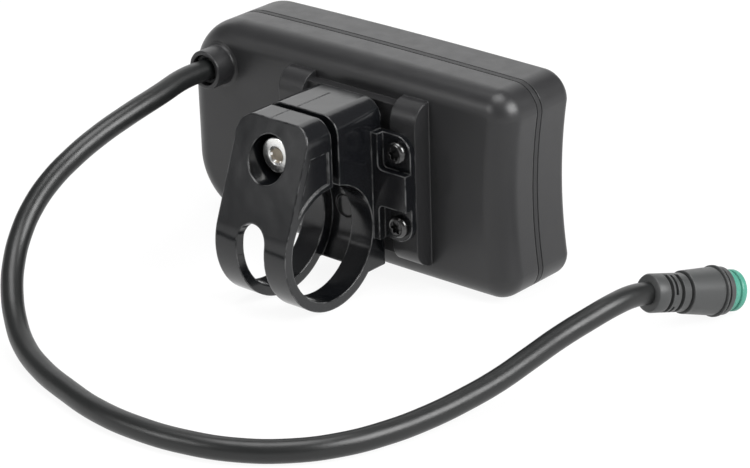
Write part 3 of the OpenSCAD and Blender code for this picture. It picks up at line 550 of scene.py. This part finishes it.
class DISPLAY_OT_lead(bpy.types.Operator):
    """Make the lead and the plug on its end."""

    bl_idname = "display.lead"
    bl_label = "Lead and plug"

    def execute(self, context):
        s = context.scene.display_lead
        place = plug_place()
        body = plug_body_mesh(s)
        body.transform(place)
        # Moulded PBT: a grey satin, painted paler on its ridges, partly as rubbed wear and partly as a
        # painted highlight
        grey = moulded("moulded PBT plug", "plug", 0.40, 0.3, 0.008, mottle=0.06, wear_and_glint=0.5, edge=0.2)
        shell = piece("plug_shell", body, [grey], ["plug_body"])

        # The nose: a ring with one groove round it, and rounded at its open end
        nose, start, end = s.nose_d / 2, s.body_l - s.collar_l + FIT, s.body_l + s.nose_l
        core, in_groove, shoulder = nose - 1 * MM, nose - 0.4 * MM, nose - 0.06 * MM
        round_r, brk = 0.33 * MM, 0.1 * MM
        ring = turned("plug_nose_ring", [
            (core, start), (nose, start), (nose, end - 0.6 * s.nose_l), (shoulder, end - 0.57 * s.nose_l),
            (in_groove, end - 0.53 * s.nose_l), (in_groove, end - 0.42 * s.nose_l),
            (shoulder, end - 0.38 * s.nose_l), (nose, end - 0.35 * s.nose_l), (nose, end - round_r),
            (nose - brk, end - brk), (nose - round_r, end), (core, end),
        ], place, 120)
        # Moulded nylon: an even green with a soft gloss
        green = moulded("moulded nylon nose", "nose", 0.36, 0.35, 0.006, mottle=0.05, wear_and_glint=0.6, edge=0.15)
        nose_ring = piece("plug_nose_ring", ring, [green], ["plug_nose"])

        socket_l, dish, dish_r = 3.4 * MM, 0.15 * MM, core - 0.5 * MM
        insert_l = s.collar_l + s.nose_l - socket_l
        face = start + insert_l
        insert = turned("plug_insert", [
            (0, start), (core - FIT, start), (core - FIT, face), (dish_r + dish, face), (dish_r, face - dish),
            (0, face - dish)], place)
        # Moulded nylon: a dull dark disc behind the pins
        dark = moulded("moulded nylon insert", "#2c2d30", 0.45, 0.3, 0.006)
        insert = piece("plug_insert", insert, [dark], ["plug_core"])

        pins, count, circle_r, r, low, pin_l = [], 5, 1.7 * MM, 0.4 * MM, insert_l / 4, 3 * MM
        high = low + pin_l
        profile = [(0, low), (r, low), (r, high - 0.1 * pin_l), (r * 0.75, high - 0.08 * MM), (r * 0.4, high),
                   (0, high)]
        for i in range(count):
            spot = place @ Matrix.Rotation(TURN * i / count, 4, "Z")
            pins.append(turned("pin", profile, spot @ Matrix.Translation((circle_r, 0, start)), 32))
        # Gilded brass: small warm glints inside the dark nose
        gilt = machined("gilded brass pins", "#d9b65c", 0.22, 0.3, 0.002, spread=0.08)
        pins = piece("contact_pins", joined("contact_pins", pins), [gilt], ["plug_pins"])

        curve = bpy.data.curves.new("lead_sheath", "CURVE")
        curve.dimensions = "3D"
        curve.resolution_u = 6
        curve.bevel_depth = s.lead_d / 2
        curve.bevel_resolution = 8
        curve.use_fill_caps = True
        spline = curve.splines.new("BEZIER")
        spline.bezier_points.add(len(LEAD_ROUTE) - 1)
        for point, at in zip(spline.bezier_points, LEAD_ROUTE):
            point.co = Vector(at) * MM
            point.handle_left_type = point.handle_right_type = "AUTO"
        curve.materials.append(sheath_pvc())
        lead = placed("lead_sheath", curve)
        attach(lead, "display")
        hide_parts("lead")
        return {"FINISHED"}


class DISPLAY_OT_clamp(bpy.types.Operator):
    """Make the bar clamp with its arm and flange."""

    bl_idname = "display.clamp"
    bl_label = "Bar clamp"

    def execute(self, context):
        s = context.scene.display_clamp
        bore, ring, half, mid = s.bar_d / 2, clamp_ring_r(), s.width / 2, housing_mid_z()
        foot, shelf = -s.reach, s.flange_t - s.reach
        # The ring, the strap that leans on it, the arm behind it and the flange
        slant = math.atan2(s.top, s.lean) - math.acos(ring / math.hypot(s.lean, s.top))
        touch = (ring * math.cos(slant), ring * math.sin(slant))
        arch = [p for p in rounded((-half, -ring), (half, s.top), s.corner_r, 16) if p[1] > 0]
        wedge = prism([(s.head_back, 0), (0, 0), touch, (s.lean, s.top), (s.head_back, s.top)], "X",
                      -half - OVER, half + OVER)
        strap = prism([(-half, -ring), (half, -ring)] + arch, "Y", s.head_back, ring + OVER)
        strap = combined("strap", strap, [wedge], "INTERSECT")
        drop = -9 * MM
        arm = prism([(-half, drop), (half, drop)] + arch, "Y", foot, s.arm_front)
        wing, rise = s.flange_w / 2, s.flange_h / 2
        flange = prism(rounded((-wing, mid - rise), (wing, mid + rise), s.flange_r), "Y", foot, shelf)
        body = combined("clamp", drum(ring, half), [strap, arm, flange], "UNION")

        # The groove in the bore breaks out below the strap in a slot with a round end
        w, floor, far, mark_z, mark_r = 3.4 * MM, bore + 2.3 * MM, 2 * ring, 0.95 * MM, 2.108 * MM
        end = math.radians(26) - math.asin(w / ring)
        keep = [(0, 0), (far, far * math.tan(end - math.radians(8))), (far, far), (s.head_back, far)]
        groove = combined("groove", drum(floor, w), [prism(keep, "X", -w - OVER, w + OVER)], "DIFFERENCE")
        turn, wide = Matrix.Rotation(end - math.radians(90), 4, "X"), 1.01 * w
        tab = bend(0, 0, wide, arc(180, 360, 24)) + [(wide, w), (-wide, w)]
        slot_end = lofted("slot_end", [[turn @ Vector((x, y, z)) for x, y in tab]
                                       for z in (bore / 2, bore / 2 + ring)])
        cutters = [drum(bore, half + OVER),
                   block((-s.width, s.arm_front, 0), (s.width, s.head_back, s.top + OVER)), groove, slot_end,
                   drill(0, mark_z, mark_r, -floor - 0.15 * MM, -bore / 2, 64)]

        # Shallow reliefs in the cheeks, the four pockets of the flange screws, and their holes
        y0, z0, z1, tilt = s.head_back + s.ring_wall / 2, bore / 2, 0.76 * s.top, math.tan(slant)
        out, thin = (ring - 0.9 * s.ring_wall) / math.cos(slant), s.ring_wall / 6
        seat, ear_w, ear_h, ear_r, hole_r = s.ear_t - s.reach, 6.6 * MM, 7 * MM, 1.1 * MM, 1.4 * MM
        for side in (-1, 1):
            pocket = prism([(y0, z0), (out - z0 * tilt, z0), (out - z1 * tilt, z1), (y0, z1)], "X",
                           side * half - thin, side * half + thin)
            core = drum(ring - s.ring_wall / 2, half + OVER)
            cutters.append(combined("relief", pocket, [core], "DIFFERENCE"))
            for top in (-1, 1):
                x = sorted((side * (wing - ear_w), side * (wing + 2 * OVER)))
                z = sorted((mid + top * (rise - ear_h), mid + top * (rise + 2 * OVER)))
                ear = rounded((x[0], z[0]), (x[1], z[1]), ear_r, 8)
                cutters.append(prism(ear, "Y", seat, shelf + OVER))
                cutters.append(drill(side * s.flange_span / 2, mid + top * s.flange_rise / 2, hole_r,
                                     foot - OVER, shelf, 48))
        counterbore_r, clear_r, nut_af, nut_seat = 4.4 * MM, 2.2 * MM, 7.1 * MM, -8.12 * MM
        cutters += [drill(0, s.screw_z, counterbore_r, s.head_seat, ring + OVER),
                    drill(0, s.screw_z, clear_r, nut_seat - OVER, s.head_seat + OVER, 64),
                    prism(hexagon(0, s.screw_z, nut_af), "Y", foot - OVER, nut_seat)]

        # Where the two halves of the mould met, and the rim that its ejector left in the bore
        line_x, vee, tall, short = 1.2 * MM, 0.09 * MM, 0.2 * MM, 0.1 * MM
        section = [(line_x + dx, s.top + dz)
                   for dx, dz in ((-vee, tall), (-vee, 0), (0, -1.6 * vee), (vee, 0), (vee, tall))]
        cutters += [prism(section, "Y", shelf, s.arm_front - short),
                    prism(section, "Y", s.head_back + short, s.lean - short)]
        inner, outer, sunk = mark_r + 0.032 * MM, mark_r + 0.252 * MM, -floor - 0.45 * MM
        cutters.append(turned("rim", [(inner, sunk), (outer, sunk), (outer, -bore), (inner, -bore)],
                              along_y(0, mark_z), 64))
        body = combined("bar_clamp", body, cutters, "DIFFERENCE")
        piece("bar_clamp", body, [clamp_nylon()], ["clamp_bracket"], sharp=25)
        return {"FINISHED"}


class DISPLAY_OT_screws(bpy.types.Operator):
    """Make the clamp screw and the four flange screws."""

    bl_idname = "display.screws"
    bl_label = "Clamp and flange screws"

    def execute(self, context):
        s = context.scene.display_clamp
        r, t, tall, e, point, under = s.head_d / 2, s.screw_d / 2, s.head_h, 0.2 * MM, 0.4 * MM, 0.1 * MM
        place = along_y(0, s.screw_z, s.head_seat)
        head = turned("socket_screw", [
            (0, -s.screw_l), (t - point, -s.screw_l), (t, point - s.screw_l), (t, 0), (r - under, 0),
            (r, under), (r, tall - 2 * e), (r - 0.3 * e, tall - 0.9 * e), (r - e, tall - 0.25 * e),
            (r - 2 * e, tall), (0, tall)], place, 120)
        # The socket's flats, its depth, and the countersink at its mouth
        flats, deep = 0.75 * s.screw_d, 0.55 * s.screw_d
        sink, sink_in, sink_out = 0.45 * MM, 0.25 * MM, 0.38 * MM
        crown = s.head_seat + tall
        key_hole = prism(hexagon(0, s.screw_z, flats), "Y", crown - deep, crown + OVER)
        mouth = turned("mouth", [(0, tall - sink), (flats / 2 - sink_in, tall - sink),
                                 (flats / 2 + sink_out, tall + LIP), (0, tall + LIP)], place, 96)
        head = combined("socket_screw", head, [key_hole, mouth], "DIFFERENCE")
        # Turned stainless steel: a bright, slightly brushed head with crisp glints on its rim
        steel = machined("turned stainless steel", "steel", 0.24, 0.25, 0.003, spread=0.08, cloudy=0.08)
        # Broached steel: the socket's walls are duller, a little brown with grease, and darker as painted
        # shade in the deep recess
        broached = machined("broached steel socket", "#b3a999", 0.42, 0.2, 0.006, cloudy=0.45)
        bolt = piece("socket_screw", head, [steel, broached], ["clamp_screw"], "clamp_bolt")
        # Faces inside the hexagon and below its countersink take the second finish, which paints shade into
        # the socket
        corner = flats / 2 / math.cos(math.radians(30)) + 0.01 * MM
        low, high = s.head_seat + under, crown - 0.32 * MM
        for face in bolt.data.polygons:
            x, y, z = face.center
            if math.hypot(x, z - s.screw_z) < corner and low < y < high:
                face.material_index = 1

        r, t, rise, edge = s.flange_head_d / 2, s.flange_screw_d / 2, 0.3 * s.flange_head_d, 0.05 * MM
        pan = [(0, -s.flange_screw_l), (t, -s.flange_screw_l), (t, 0), (r - edge, 0), (r, edge)]
        pan += [(r * (0.62 + 0.38 * math.cos(a)), rise * (0.42 + 0.58 * math.sin(a))) for a in arc(0, 90, 8)]
        screw = turned("pan_screw", pan + [(0, rise)], along_y(0, 0), 72)
        recess = prism(lobed(0.50 * r, 0.10 * r), "Y", 0.35 * rise, rise + OVER)
        screw = combined("pan_screw", screw, [recess], "DIFFERENCE")
        screws = []
        for x in (-s.flange_span / 2, s.flange_span / 2):
            for z in (-s.flange_rise / 2, s.flange_rise / 2):
                screws.append(screw.copy())
                screws[-1].transform(Matrix.Translation((x, s.ear_t - s.reach, housing_mid_z() + z)))
        # Blacked steel: dark grey with a soft metallic glint on the dome
        black = machined("blacked steel", "black_steel", 0.22, 0.3, 0.003, spread=0.06)
        piece("pan_screws", joined("pan_screws", screws), [black], ["flange_screws"])
        return {"FINISHED"}


def housing_loft(name, stations, closed=False):
    """Housing form through stations, each an inset and a place along Y."""
    s = bpy.context.scene.display_housing
    return lofted(name, [housing_outline(s, inset, y) for inset, y in stations], closed)


def half_stations(way, split, plane, thickness, edge_r, steps):
    """Stations of a housing half, from its inner face over its seam to its fillet; way is its side on Y."""
    s = bpy.context.scene.display_housing
    start, end = split + way * SEAM, plane - way * edge_r
    lap = split + way * FIT
    stations = [(s.wall, plane - way * thickness), (s.wall, lap), (SEAM_DEPTH, lap),
                (SEAM_DEPTH, start), (LIP, start), (0, start + way * LIP)]
    stations += [(0, start + (end - start) * k / 4) for k in (2, 3)]
    return stations + [(edge_r * (1 - math.cos(a)), plane - way * edge_r * (1 - math.sin(a)))
                       for a in arc(0, 90, steps)]


class DISPLAY_OT_rear(bpy.types.Operator):
    """Make the rear of the housing, its boss and gland, and the seam strip."""

    bl_idname = "display.rear"
    bl_label = "Rear housing"

    def execute(self, context):
        s, c = context.scene.display_housing, context.scene.display_clamp
        mid = housing_mid_z()
        land = s.rear_edge_r + 0.6 * MM
        stations = half_stations(1, s.rear_split, s.back, s.back_t, s.rear_edge_r, 16)
        parts = [housing_loft("rear", stations + [(land, s.back)])]
        r, rib_h, hole_r, root = s.rib_proud, 32.6 * MM, 1.3 * MM, s.back - 0.3 * MM
        low, high = mid - rib_h / 2, mid + rib_h / 2
        for side in (-1, 1):
            x = side * c.flange_span / 2
            view = ([(root, low), (root, high)] + bend(s.back, high - r, r, arc(90, 0, 14))
                    + bend(s.back, low + r, r, arc(0, -90, 14)))
            rib = prism(view, "X", x - s.rib_w / 2, x + s.rib_w / 2)
            holes = [drill(x, mid + top * c.flange_rise / 2, hole_r, s.back, s.back + 1.5 * r, 48)
                     for top in (-1, 1)]
            parts.append(combined("rib", rib, holes, "DIFFERENCE"))
        pad, pad_top, pad_h = c.flange_span / 2 - s.rib_w / 2, s.back + 2.2 * MM, 30 * MM
        parts.append(block((-pad, root, mid - pad_h / 2), (pad, pad_top, mid + pad_h / 2)))

        # The boss: flared at its root, and softly broken at its rim
        r, b, flare, rim = s.boss_d / 2, 3 * MM, s.boss_proud / 8, s.back + s.boss_proud
        foot, brk = s.back - 1.5 * MM, 0.25 * MM
        boss = [(b, foot), (r + flare, foot), (r + flare, s.back)]
        boss += bend(r + flare, s.back + flare, flare, arc(270, 180, 12)[1:])
        boss += [(r, rim - brk), (r - 0.32 * brk, rim - 0.28 * brk), (r - brk, rim), (b + 0.8 * brk, rim),
                 (b + 0.2 * brk, rim - 0.24 * brk), (b, rim - 0.8 * brk)]
        parts.append(turned("boss", boss, along_y(s.boss_x, s.boss_z), 120))
        piece("rear_housing", joined("rear_housing", parts), [housing_abs()],
              ["rear_shell"])

        wire, bush, face = context.scene.display_lead.lead_d / 2 + FIT, b - FIT, rim - 1 * MM
        foot, brk = s.back - s.back_t, 0.15 * MM
        gland = turned("lead_gland", [
            (wire, foot), (bush, foot), (bush, face - brk), (bush - brk, face),
            (wire + 0.25 * MM, face - LIP), (wire, face - 0.25 * MM)], along_y(s.boss_x, s.boss_z))
        # Moulded TPE: a dull black bush, softer than the housing round it
        rubber = moulded("moulded TPE gland", "#1c1d1e", 0.6, 0.35, 0.01, wear_and_glint=0.0)
        piece("lead_gland", gland, [rubber], ["cable_gland"])

        # The strip's two edges mirror each other
        edge = [(s.wall, 0), (SEAM_DEPTH, 0), (SEAM_DEPTH, SEAM), (LIP, SEAM), (0, SEAM + LIP)]
        stations = [(inset, s.front_split + d) for inset, d in edge]
        stations += [(inset, s.rear_split - d) for inset, d in reversed(edge)]
        strip = housing_loft("seam_strip", stations, closed=True)
        # Moulded TPE seal: the same grey as the shells, a little duller between its two dark seams
        band = moulded("moulded TPE seal", "housing", 0.5, 0.3, 0.01, mottle=0.04, wear_and_glint=0.05)
        piece("seam_strip", strip, [band], ["shell_seal"])
        return {"FINISHED"}


def key_places(s):
    """Centres of the keys, named by their bodies."""
    x, mid = s.side - s.length + s.key_inset, housing_mid_z()
    return {"power_key": (x, mid), "plus_key": (x, mid + s.key_pitch), "minus_key": (x, mid - s.key_pitch)}


def light_places(s):
    """Centres of the lights: four in the upper row and five in the lower."""
    x, mid = s.side - s.length + s.light_inset, housing_mid_z()
    return ([(x + i * s.light_pitch, mid + s.row_pitch / 2) for i in range(4)]
            + [(x + i * s.light_pitch, mid - s.row_pitch / 2) for i in range(5)])


class DISPLAY_OT_front(bpy.types.Operator):
    """Make the front of the housing, the film over it and the light windows."""

    bl_idname = "display.front"
    bl_label = "Front housing"

    def execute(self, context):
        s = context.scene.display_housing
        bed, inner, step, margin = s.face + 0.4 * MM + LIP, s.face + s.face_t, 0.1 * MM, s.film_margin
        stations = half_stations(-1, s.front_split, s.face, s.face_t, s.front_edge_r, 12)
        stations += [(margin - step, s.face), (margin, s.face + step), (margin, bed)]
        keys, lights = key_places(s).values(), light_places(s)
        holes = [drill(x, z, s.key_d / 2 + FIT, s.face - OVER, inner + OVER) for x, z in keys]
        holes += [drill(x, z, s.light_d / 2 + LIP, s.face - OVER, inner + OVER, 48) for x, z in lights]
        front = combined("front_housing", housing_loft("front", stations), holes, "DIFFERENCE")
        piece("front_housing", front, [housing_abs("satin moulded ABS front")],
              ["front_shell"])

        edge, margin = 0.12 * MM, s.film_margin + LIP
        sheet = [(margin, bed - LIP), (margin, s.face + edge), (margin + edge, s.face)]
        holes = [drill(x, z, s.key_d / 2 + 3 * FIT, s.face - OVER, bed + OVER) for x, z in keys]
        film = combined("front_sheet", housing_loft("film", sheet), holes, "DIFFERENCE")
        # Polycarbonate film, printed behind: deep gloss black with an even orange-peel shimmer
        gloss = moulded("printed polycarbonate film", "film", 0.14, 0.6,
                        0.001, mottle=0.02, wear_and_glint=0.2, drift=0.03, wave=0.01)
        piece("front_sheet", film, [gloss], ["front_film"])

        r, dome, windows = s.light_d / 2, 0.03 * MM, []
        pane = [(0, -step), (r, -step), (r, dome / 6), (r - 2 * dome, dome * 2 / 3), (0, dome)]
        for x, z in lights:
            spot = Matrix.Translation((x, s.face, z)) @ Matrix.Rotation(math.radians(90), 4, "X")
            windows.append(turned("window", pane, spot, 48))
        # Milky print: a pale window that an unlit light shows through
        milky = moulded("milky printed window", "#a9afb2", 0.2, 0.5, 0.001, mottle=0.05, wear_and_glint=0.0)
        piece("light_windows", joined("light_windows", windows), [milky])
        return {"FINISHED"}


class DISPLAY_OT_keys(bpy.types.Operator):
    """Make the three keys with their symbols."""

    bl_idname = "display.keys"
    bl_label = "Keys"

    def execute(self, context):
        s = context.scene.display_housing
        # Silk-printed ABS keys: a pale satin cap with a dark sunk symbol; heights run from the cap's top
        cap_abs = moulded("moulded ABS key", "key", 0.35, 0.3, 0.005, mottle=0.03, wear_and_glint=0.2)
        print_ink = moulded("printed key symbol", "symbol", 0.45, 0.2, 0.003, wear_and_glint=0.0)
        r, e, top = s.key_d / 2, 0.35 * MM, s.face - s.key_proud
        stem, end, rim_w, rim_t = 1.3 * MM, -34.05 * MM - top, 0.9 * MM, 0.5 * MM
        rim = s.face + s.face_t + 0.65 * MM - top
        profile = ([(0, 0.06 * MM), (r * 0.6, 0.03 * MM)] + bend(r - e, e, e, arc(-90, 0, 6))
                   + [(r, rim), (r + rim_w, rim), (r + rim_w, rim + rim_t), (stem, rim + rim_t),
                      (stem, end), (0, end)])
        # Strokes of the symbols, each with its low corner, high corner and corner radius
        long, thick = 0.42 * s.key_d, 0.11 * s.key_d
        flat = ((-long / 2, -thick / 2), (long / 2, thick / 2), 0.3 * thick)
        upright = ((-thick / 2, -long / 2), (thick / 2, long / 2), 0.3 * thick)
        strokes = {"minus_key": [flat], "plus_key": [flat, upright],
                   "power_key": [((-0.38 * thick, 0.1 * long), (0.38 * thick, 0.62 * long), 0.25 * thick)]}
        sweep = arc(125, 415, 48)
        for body, (x, z) in key_places(s).items():
            outlines = [rounded((x + low[0], z + low[1]), (x + high[0], z + high[1]), radius, 4)
                        for low, high, radius in strokes[body]]
            if body == "power_key":
                loop = bend(x, z, long / 2, sweep) + bend(x, z, long / 2 - thick * 0.75, sweep[::-1])
                outlines.insert(0, loop)
            bars = [prism(outline, "Y", top + 0.01 * MM, top + 0.3 * MM) for outline in outlines]
            node = body.replace("_key", "_button")
            cap = turned("cap", profile, along_y(x, z, top), 96)
            piece(node + "_cap", cap, [cap_abs], [node], body)
            piece(node + "_symbol", joined("symbol", bars), [print_ink], (), body)
        return {"FINISHED"}


class DISPLAY_OT_inside(bpy.types.Operator):
    """Give the parts that stay as packed their own finishes."""

    bl_idname = "display.inside"
    bl_label = "Nut and inner parts"

    def execute(self, context):
        # Zinc-plated steel: pale and cloudy, with soft edges
        zinc = machined("zinc-plated steel", "#b4b7bb", 0.34, 0.3, 0.003)
        # Solder mask on glass epoxy: an uneven green gloss over a fine weave
        board = moulded("solder-masked glass epoxy", "#1f5a34", 0.3, 0.5, 0.01, mottle=0.18)
        # Moulded epoxy: a dull near-black with a fine grit
        chip = moulded("moulded epoxy chip", "#1a1b1d", 0.5, 0.15, 0.006)
        # Undyed nylon: a warm satin white
        nylon = moulded("moulded nylon header", "#e9e3cf", 0.4, 0.3, 0.004)
        # Moulded acrylic and lamp packages: glossy and pale
        acrylic = moulded("moulded acrylic guide", "#dfe8e8", 0.12, 0.6, 0.001, mottle=0.03)
        lamp = moulded("moulded lamp package", "#efe9cf", 0.35, 0.4, 0.002)
        # Turned brass: a warm sheen over fine rings
        brass = machined("turned brass plunger", "#c8a862", 0.3, 0.25, 0.003)
        # Moulded silicone and extruded sleeve: one dull, the other smooth with an uneven dye
        rubber = moulded("moulded silicone seal", "#2a2b2e", 0.6, 0.35, 0.008)
        wire = moulded("extruded wire sleeve", "#b5372f", 0.4, 0.4, 0.004, mottle=0.15)
        finishes = {
            "clamp_nut": zinc, "shell_screws": zinc, "board_screws": zinc, "circuit_board": board,
            "controller_chip": chip, "supply_parts": chip, "switch_bodies": chip, "lead_header": nylon,
            "light_guides": acrylic, "light_chips": lamp, "power_plunger": brass, "plus_plunger": brass,
            "minus_plunger": brass, "button_seals": rubber, "lead_wires": wire, "lead_tail": sheath_pvc(),
        }
        for node, material in finishes.items():
            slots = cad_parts[node].material_slots
            if not slots:
                raise RuntimeError(f"{node} has no material slot")
            for spot in slots:
                spot.material = material
        return {"FINISHED"}


def rays(tree):
    """Whether a ray comes from the camera, and whether it shows the surroundings, in gloss or glass too."""
    path = add(tree, "LightPath")
    camera = seen = path.outputs["Is Camera Ray"]
    for kind in ("Is Glossy Ray", "Is Transmission Ray"):
        seen = add(tree, "Math", {"operation": "MAXIMUM"}, links={0: seen, 1: path.outputs[kind]})
    return camera, seen


class DISPLAY_OT_stage(bpy.types.Operator):
    """Set out the pale floor, the soft lamps and the white surroundings."""

    bl_idname = "display.stage"
    bl_label = "Stage"

    def execute(self, context):
        # Matt card: it shows nearly white, and the rest of its own light and shade keeps the shadow
        low, reach, plain_share = -clamp_ring_r() - LIP, 2, 0.91
        floor = faces_mesh("floor", [(-reach, -reach, low), (reach, -reach, low), (reach, reach, low),
                                     (-reach, reach, low)], [(0, 1, 2, 3)])
        material, tree, place = fresh("matt card floor")
        fibre = add(tree, "TexNoise", values={"Scale": 1 / (1.5 * MM), "Detail": 4.0}, links=place)
        tint = tone("floor")
        shade = add(tree, "Mix", {"data_type": "RGBA"}, {6: scaled(tint, 0.98), 7: tint}, {0: fibre})
        matt = add(tree, "BsdfDiffuse", links={"Color": shade.outputs[2]})
        camera, seen = rays(tree)
        share = add(tree, "Math", {"operation": "MULTIPLY"}, {1: plain_share}, {0: seen})
        glow = add(tree, "Emission")
        total = add(tree, "MixShader", links={0: share, 1: matt, 2: glow})
        add(tree, "OutputMaterial", links={"Surface": total})
        floor.materials.append(material)
        placed("floor", floor)

        # A white room for the camera, which gloss sees as darker above the horizon, and a dim even fill
        world = bpy.data.worlds.new("white room")
        world.use_nodes = True
        tree = world.node_tree
        tree.nodes.clear()
        camera, seen = rays(tree)
        dim = add(tree, "Background", values={"Color": (1, 1, 1, 1), "Strength": 0.45})
        axes = add(tree, "SeparateXYZ", links={0: add(tree, "TexCoord").outputs["Generated"]})
        above = add(tree, "MapRange", {"interpolation_type": "SMOOTHSTEP"},
                    {"From Max": 0.2, "To Min": 1.0, "To Max": 0.2}, {"Value": axes.outputs["Z"]})
        level = add(tree, "Math", {"operation": "MAXIMUM"}, links={0: above, 1: camera})
        white = add(tree, "Background", values={"Color": (1, 1, 1, 1)}, links={"Strength": level})
        both = add(tree, "MixShader", links={0: seen, 1: dim, 2: white})
        add(tree, "OutputWorld", links={"Surface": both})
        context.scene.world = world

        # Softboxes, each with its place and size in metres and its power in watts, aimed at the clamp
        for name, at, size, power in (("top softbox", (0.05, 0.05, 0.75), (0.45, 0.45), 3.8),
                                      ("left softbox", (0.35, 0.8, 0.45), (0.35, 0.3), 2.5),
                                      ("right softbox", (-0.72, -0.1, 0.52), (0.6, 0.5), 11.0),
                                      ("rim softbox", (0.62, -0.72, 0.5), (1.2, 0.7), 3.2),
                                      ("low softbox", (0.55, 0.68, 0.18), (0.06, 0.06), 0.020)):
            lamp = bpy.data.lights.new(name, "AREA")
            lamp.shape = "RECTANGLE"
            lamp.size, lamp.size_y = size
            lamp.energy = power
            item = placed(name, lamp)
            item.location = at
            item.rotation_euler = (-Vector(at)).to_track_quat("-Z", "Y").to_euler()
        return {"FINISHED"}


OPERATORS = (DISPLAY_OT_camera, DISPLAY_OT_lead, DISPLAY_OT_clamp, DISPLAY_OT_screws, DISPLAY_OT_rear,
             DISPLAY_OT_front, DISPLAY_OT_keys, DISPLAY_OT_inside, DISPLAY_OT_stage)
GROUPS = {"display_housing": HousingSizes, "display_clamp": ClampSizes, "display_lead": LeadSizes,
          "display_finishes": Finishes, "display_camera": CameraSettings}


class DISPLAY_PT_panel(bpy.types.Panel):
    """Lists the pieces of the display."""

    bl_idname = "DISPLAY_PT_panel"
    bl_label = "E-bike display"
    bl_space_type = "VIEW_3D"
    bl_region_type = "UI"
    bl_category = "Display"

    def draw(self, context):
        for operator in OPERATORS:
            self.layout.operator(operator.bl_idname)
        for name, group in GROUPS.items():
            settings = getattr(context.scene, name)
            column = self.layout.column()
            for key in group.__annotations__:
                column.prop(settings, key)


CLASSES = (*GROUPS.values(), *OPERATORS, DISPLAY_PT_panel)


def register():
    for item in CLASSES:
        bpy.utils.register_class(item)
    for name, group in GROUPS.items():
        setattr(bpy.types.Scene, name, bpy.props.PointerProperty(type=group))


def unregister():
    for name in GROUPS:
        delattr(bpy.types.Scene, name)
    for item in reversed(CLASSES):
        bpy.utils.unregister_class(item)


def main():
    register()
    bpy.ops.display.camera()
    bpy.ops.display.lead()
    bpy.ops.display.clamp()
    bpy.ops.display.screws()
    bpy.ops.display.rear()
    bpy.ops.display.front()
    bpy.ops.display.keys()
    bpy.ops.display.inside()
    bpy.ops.display.stage()


if __name__ == "__main__":
    main()
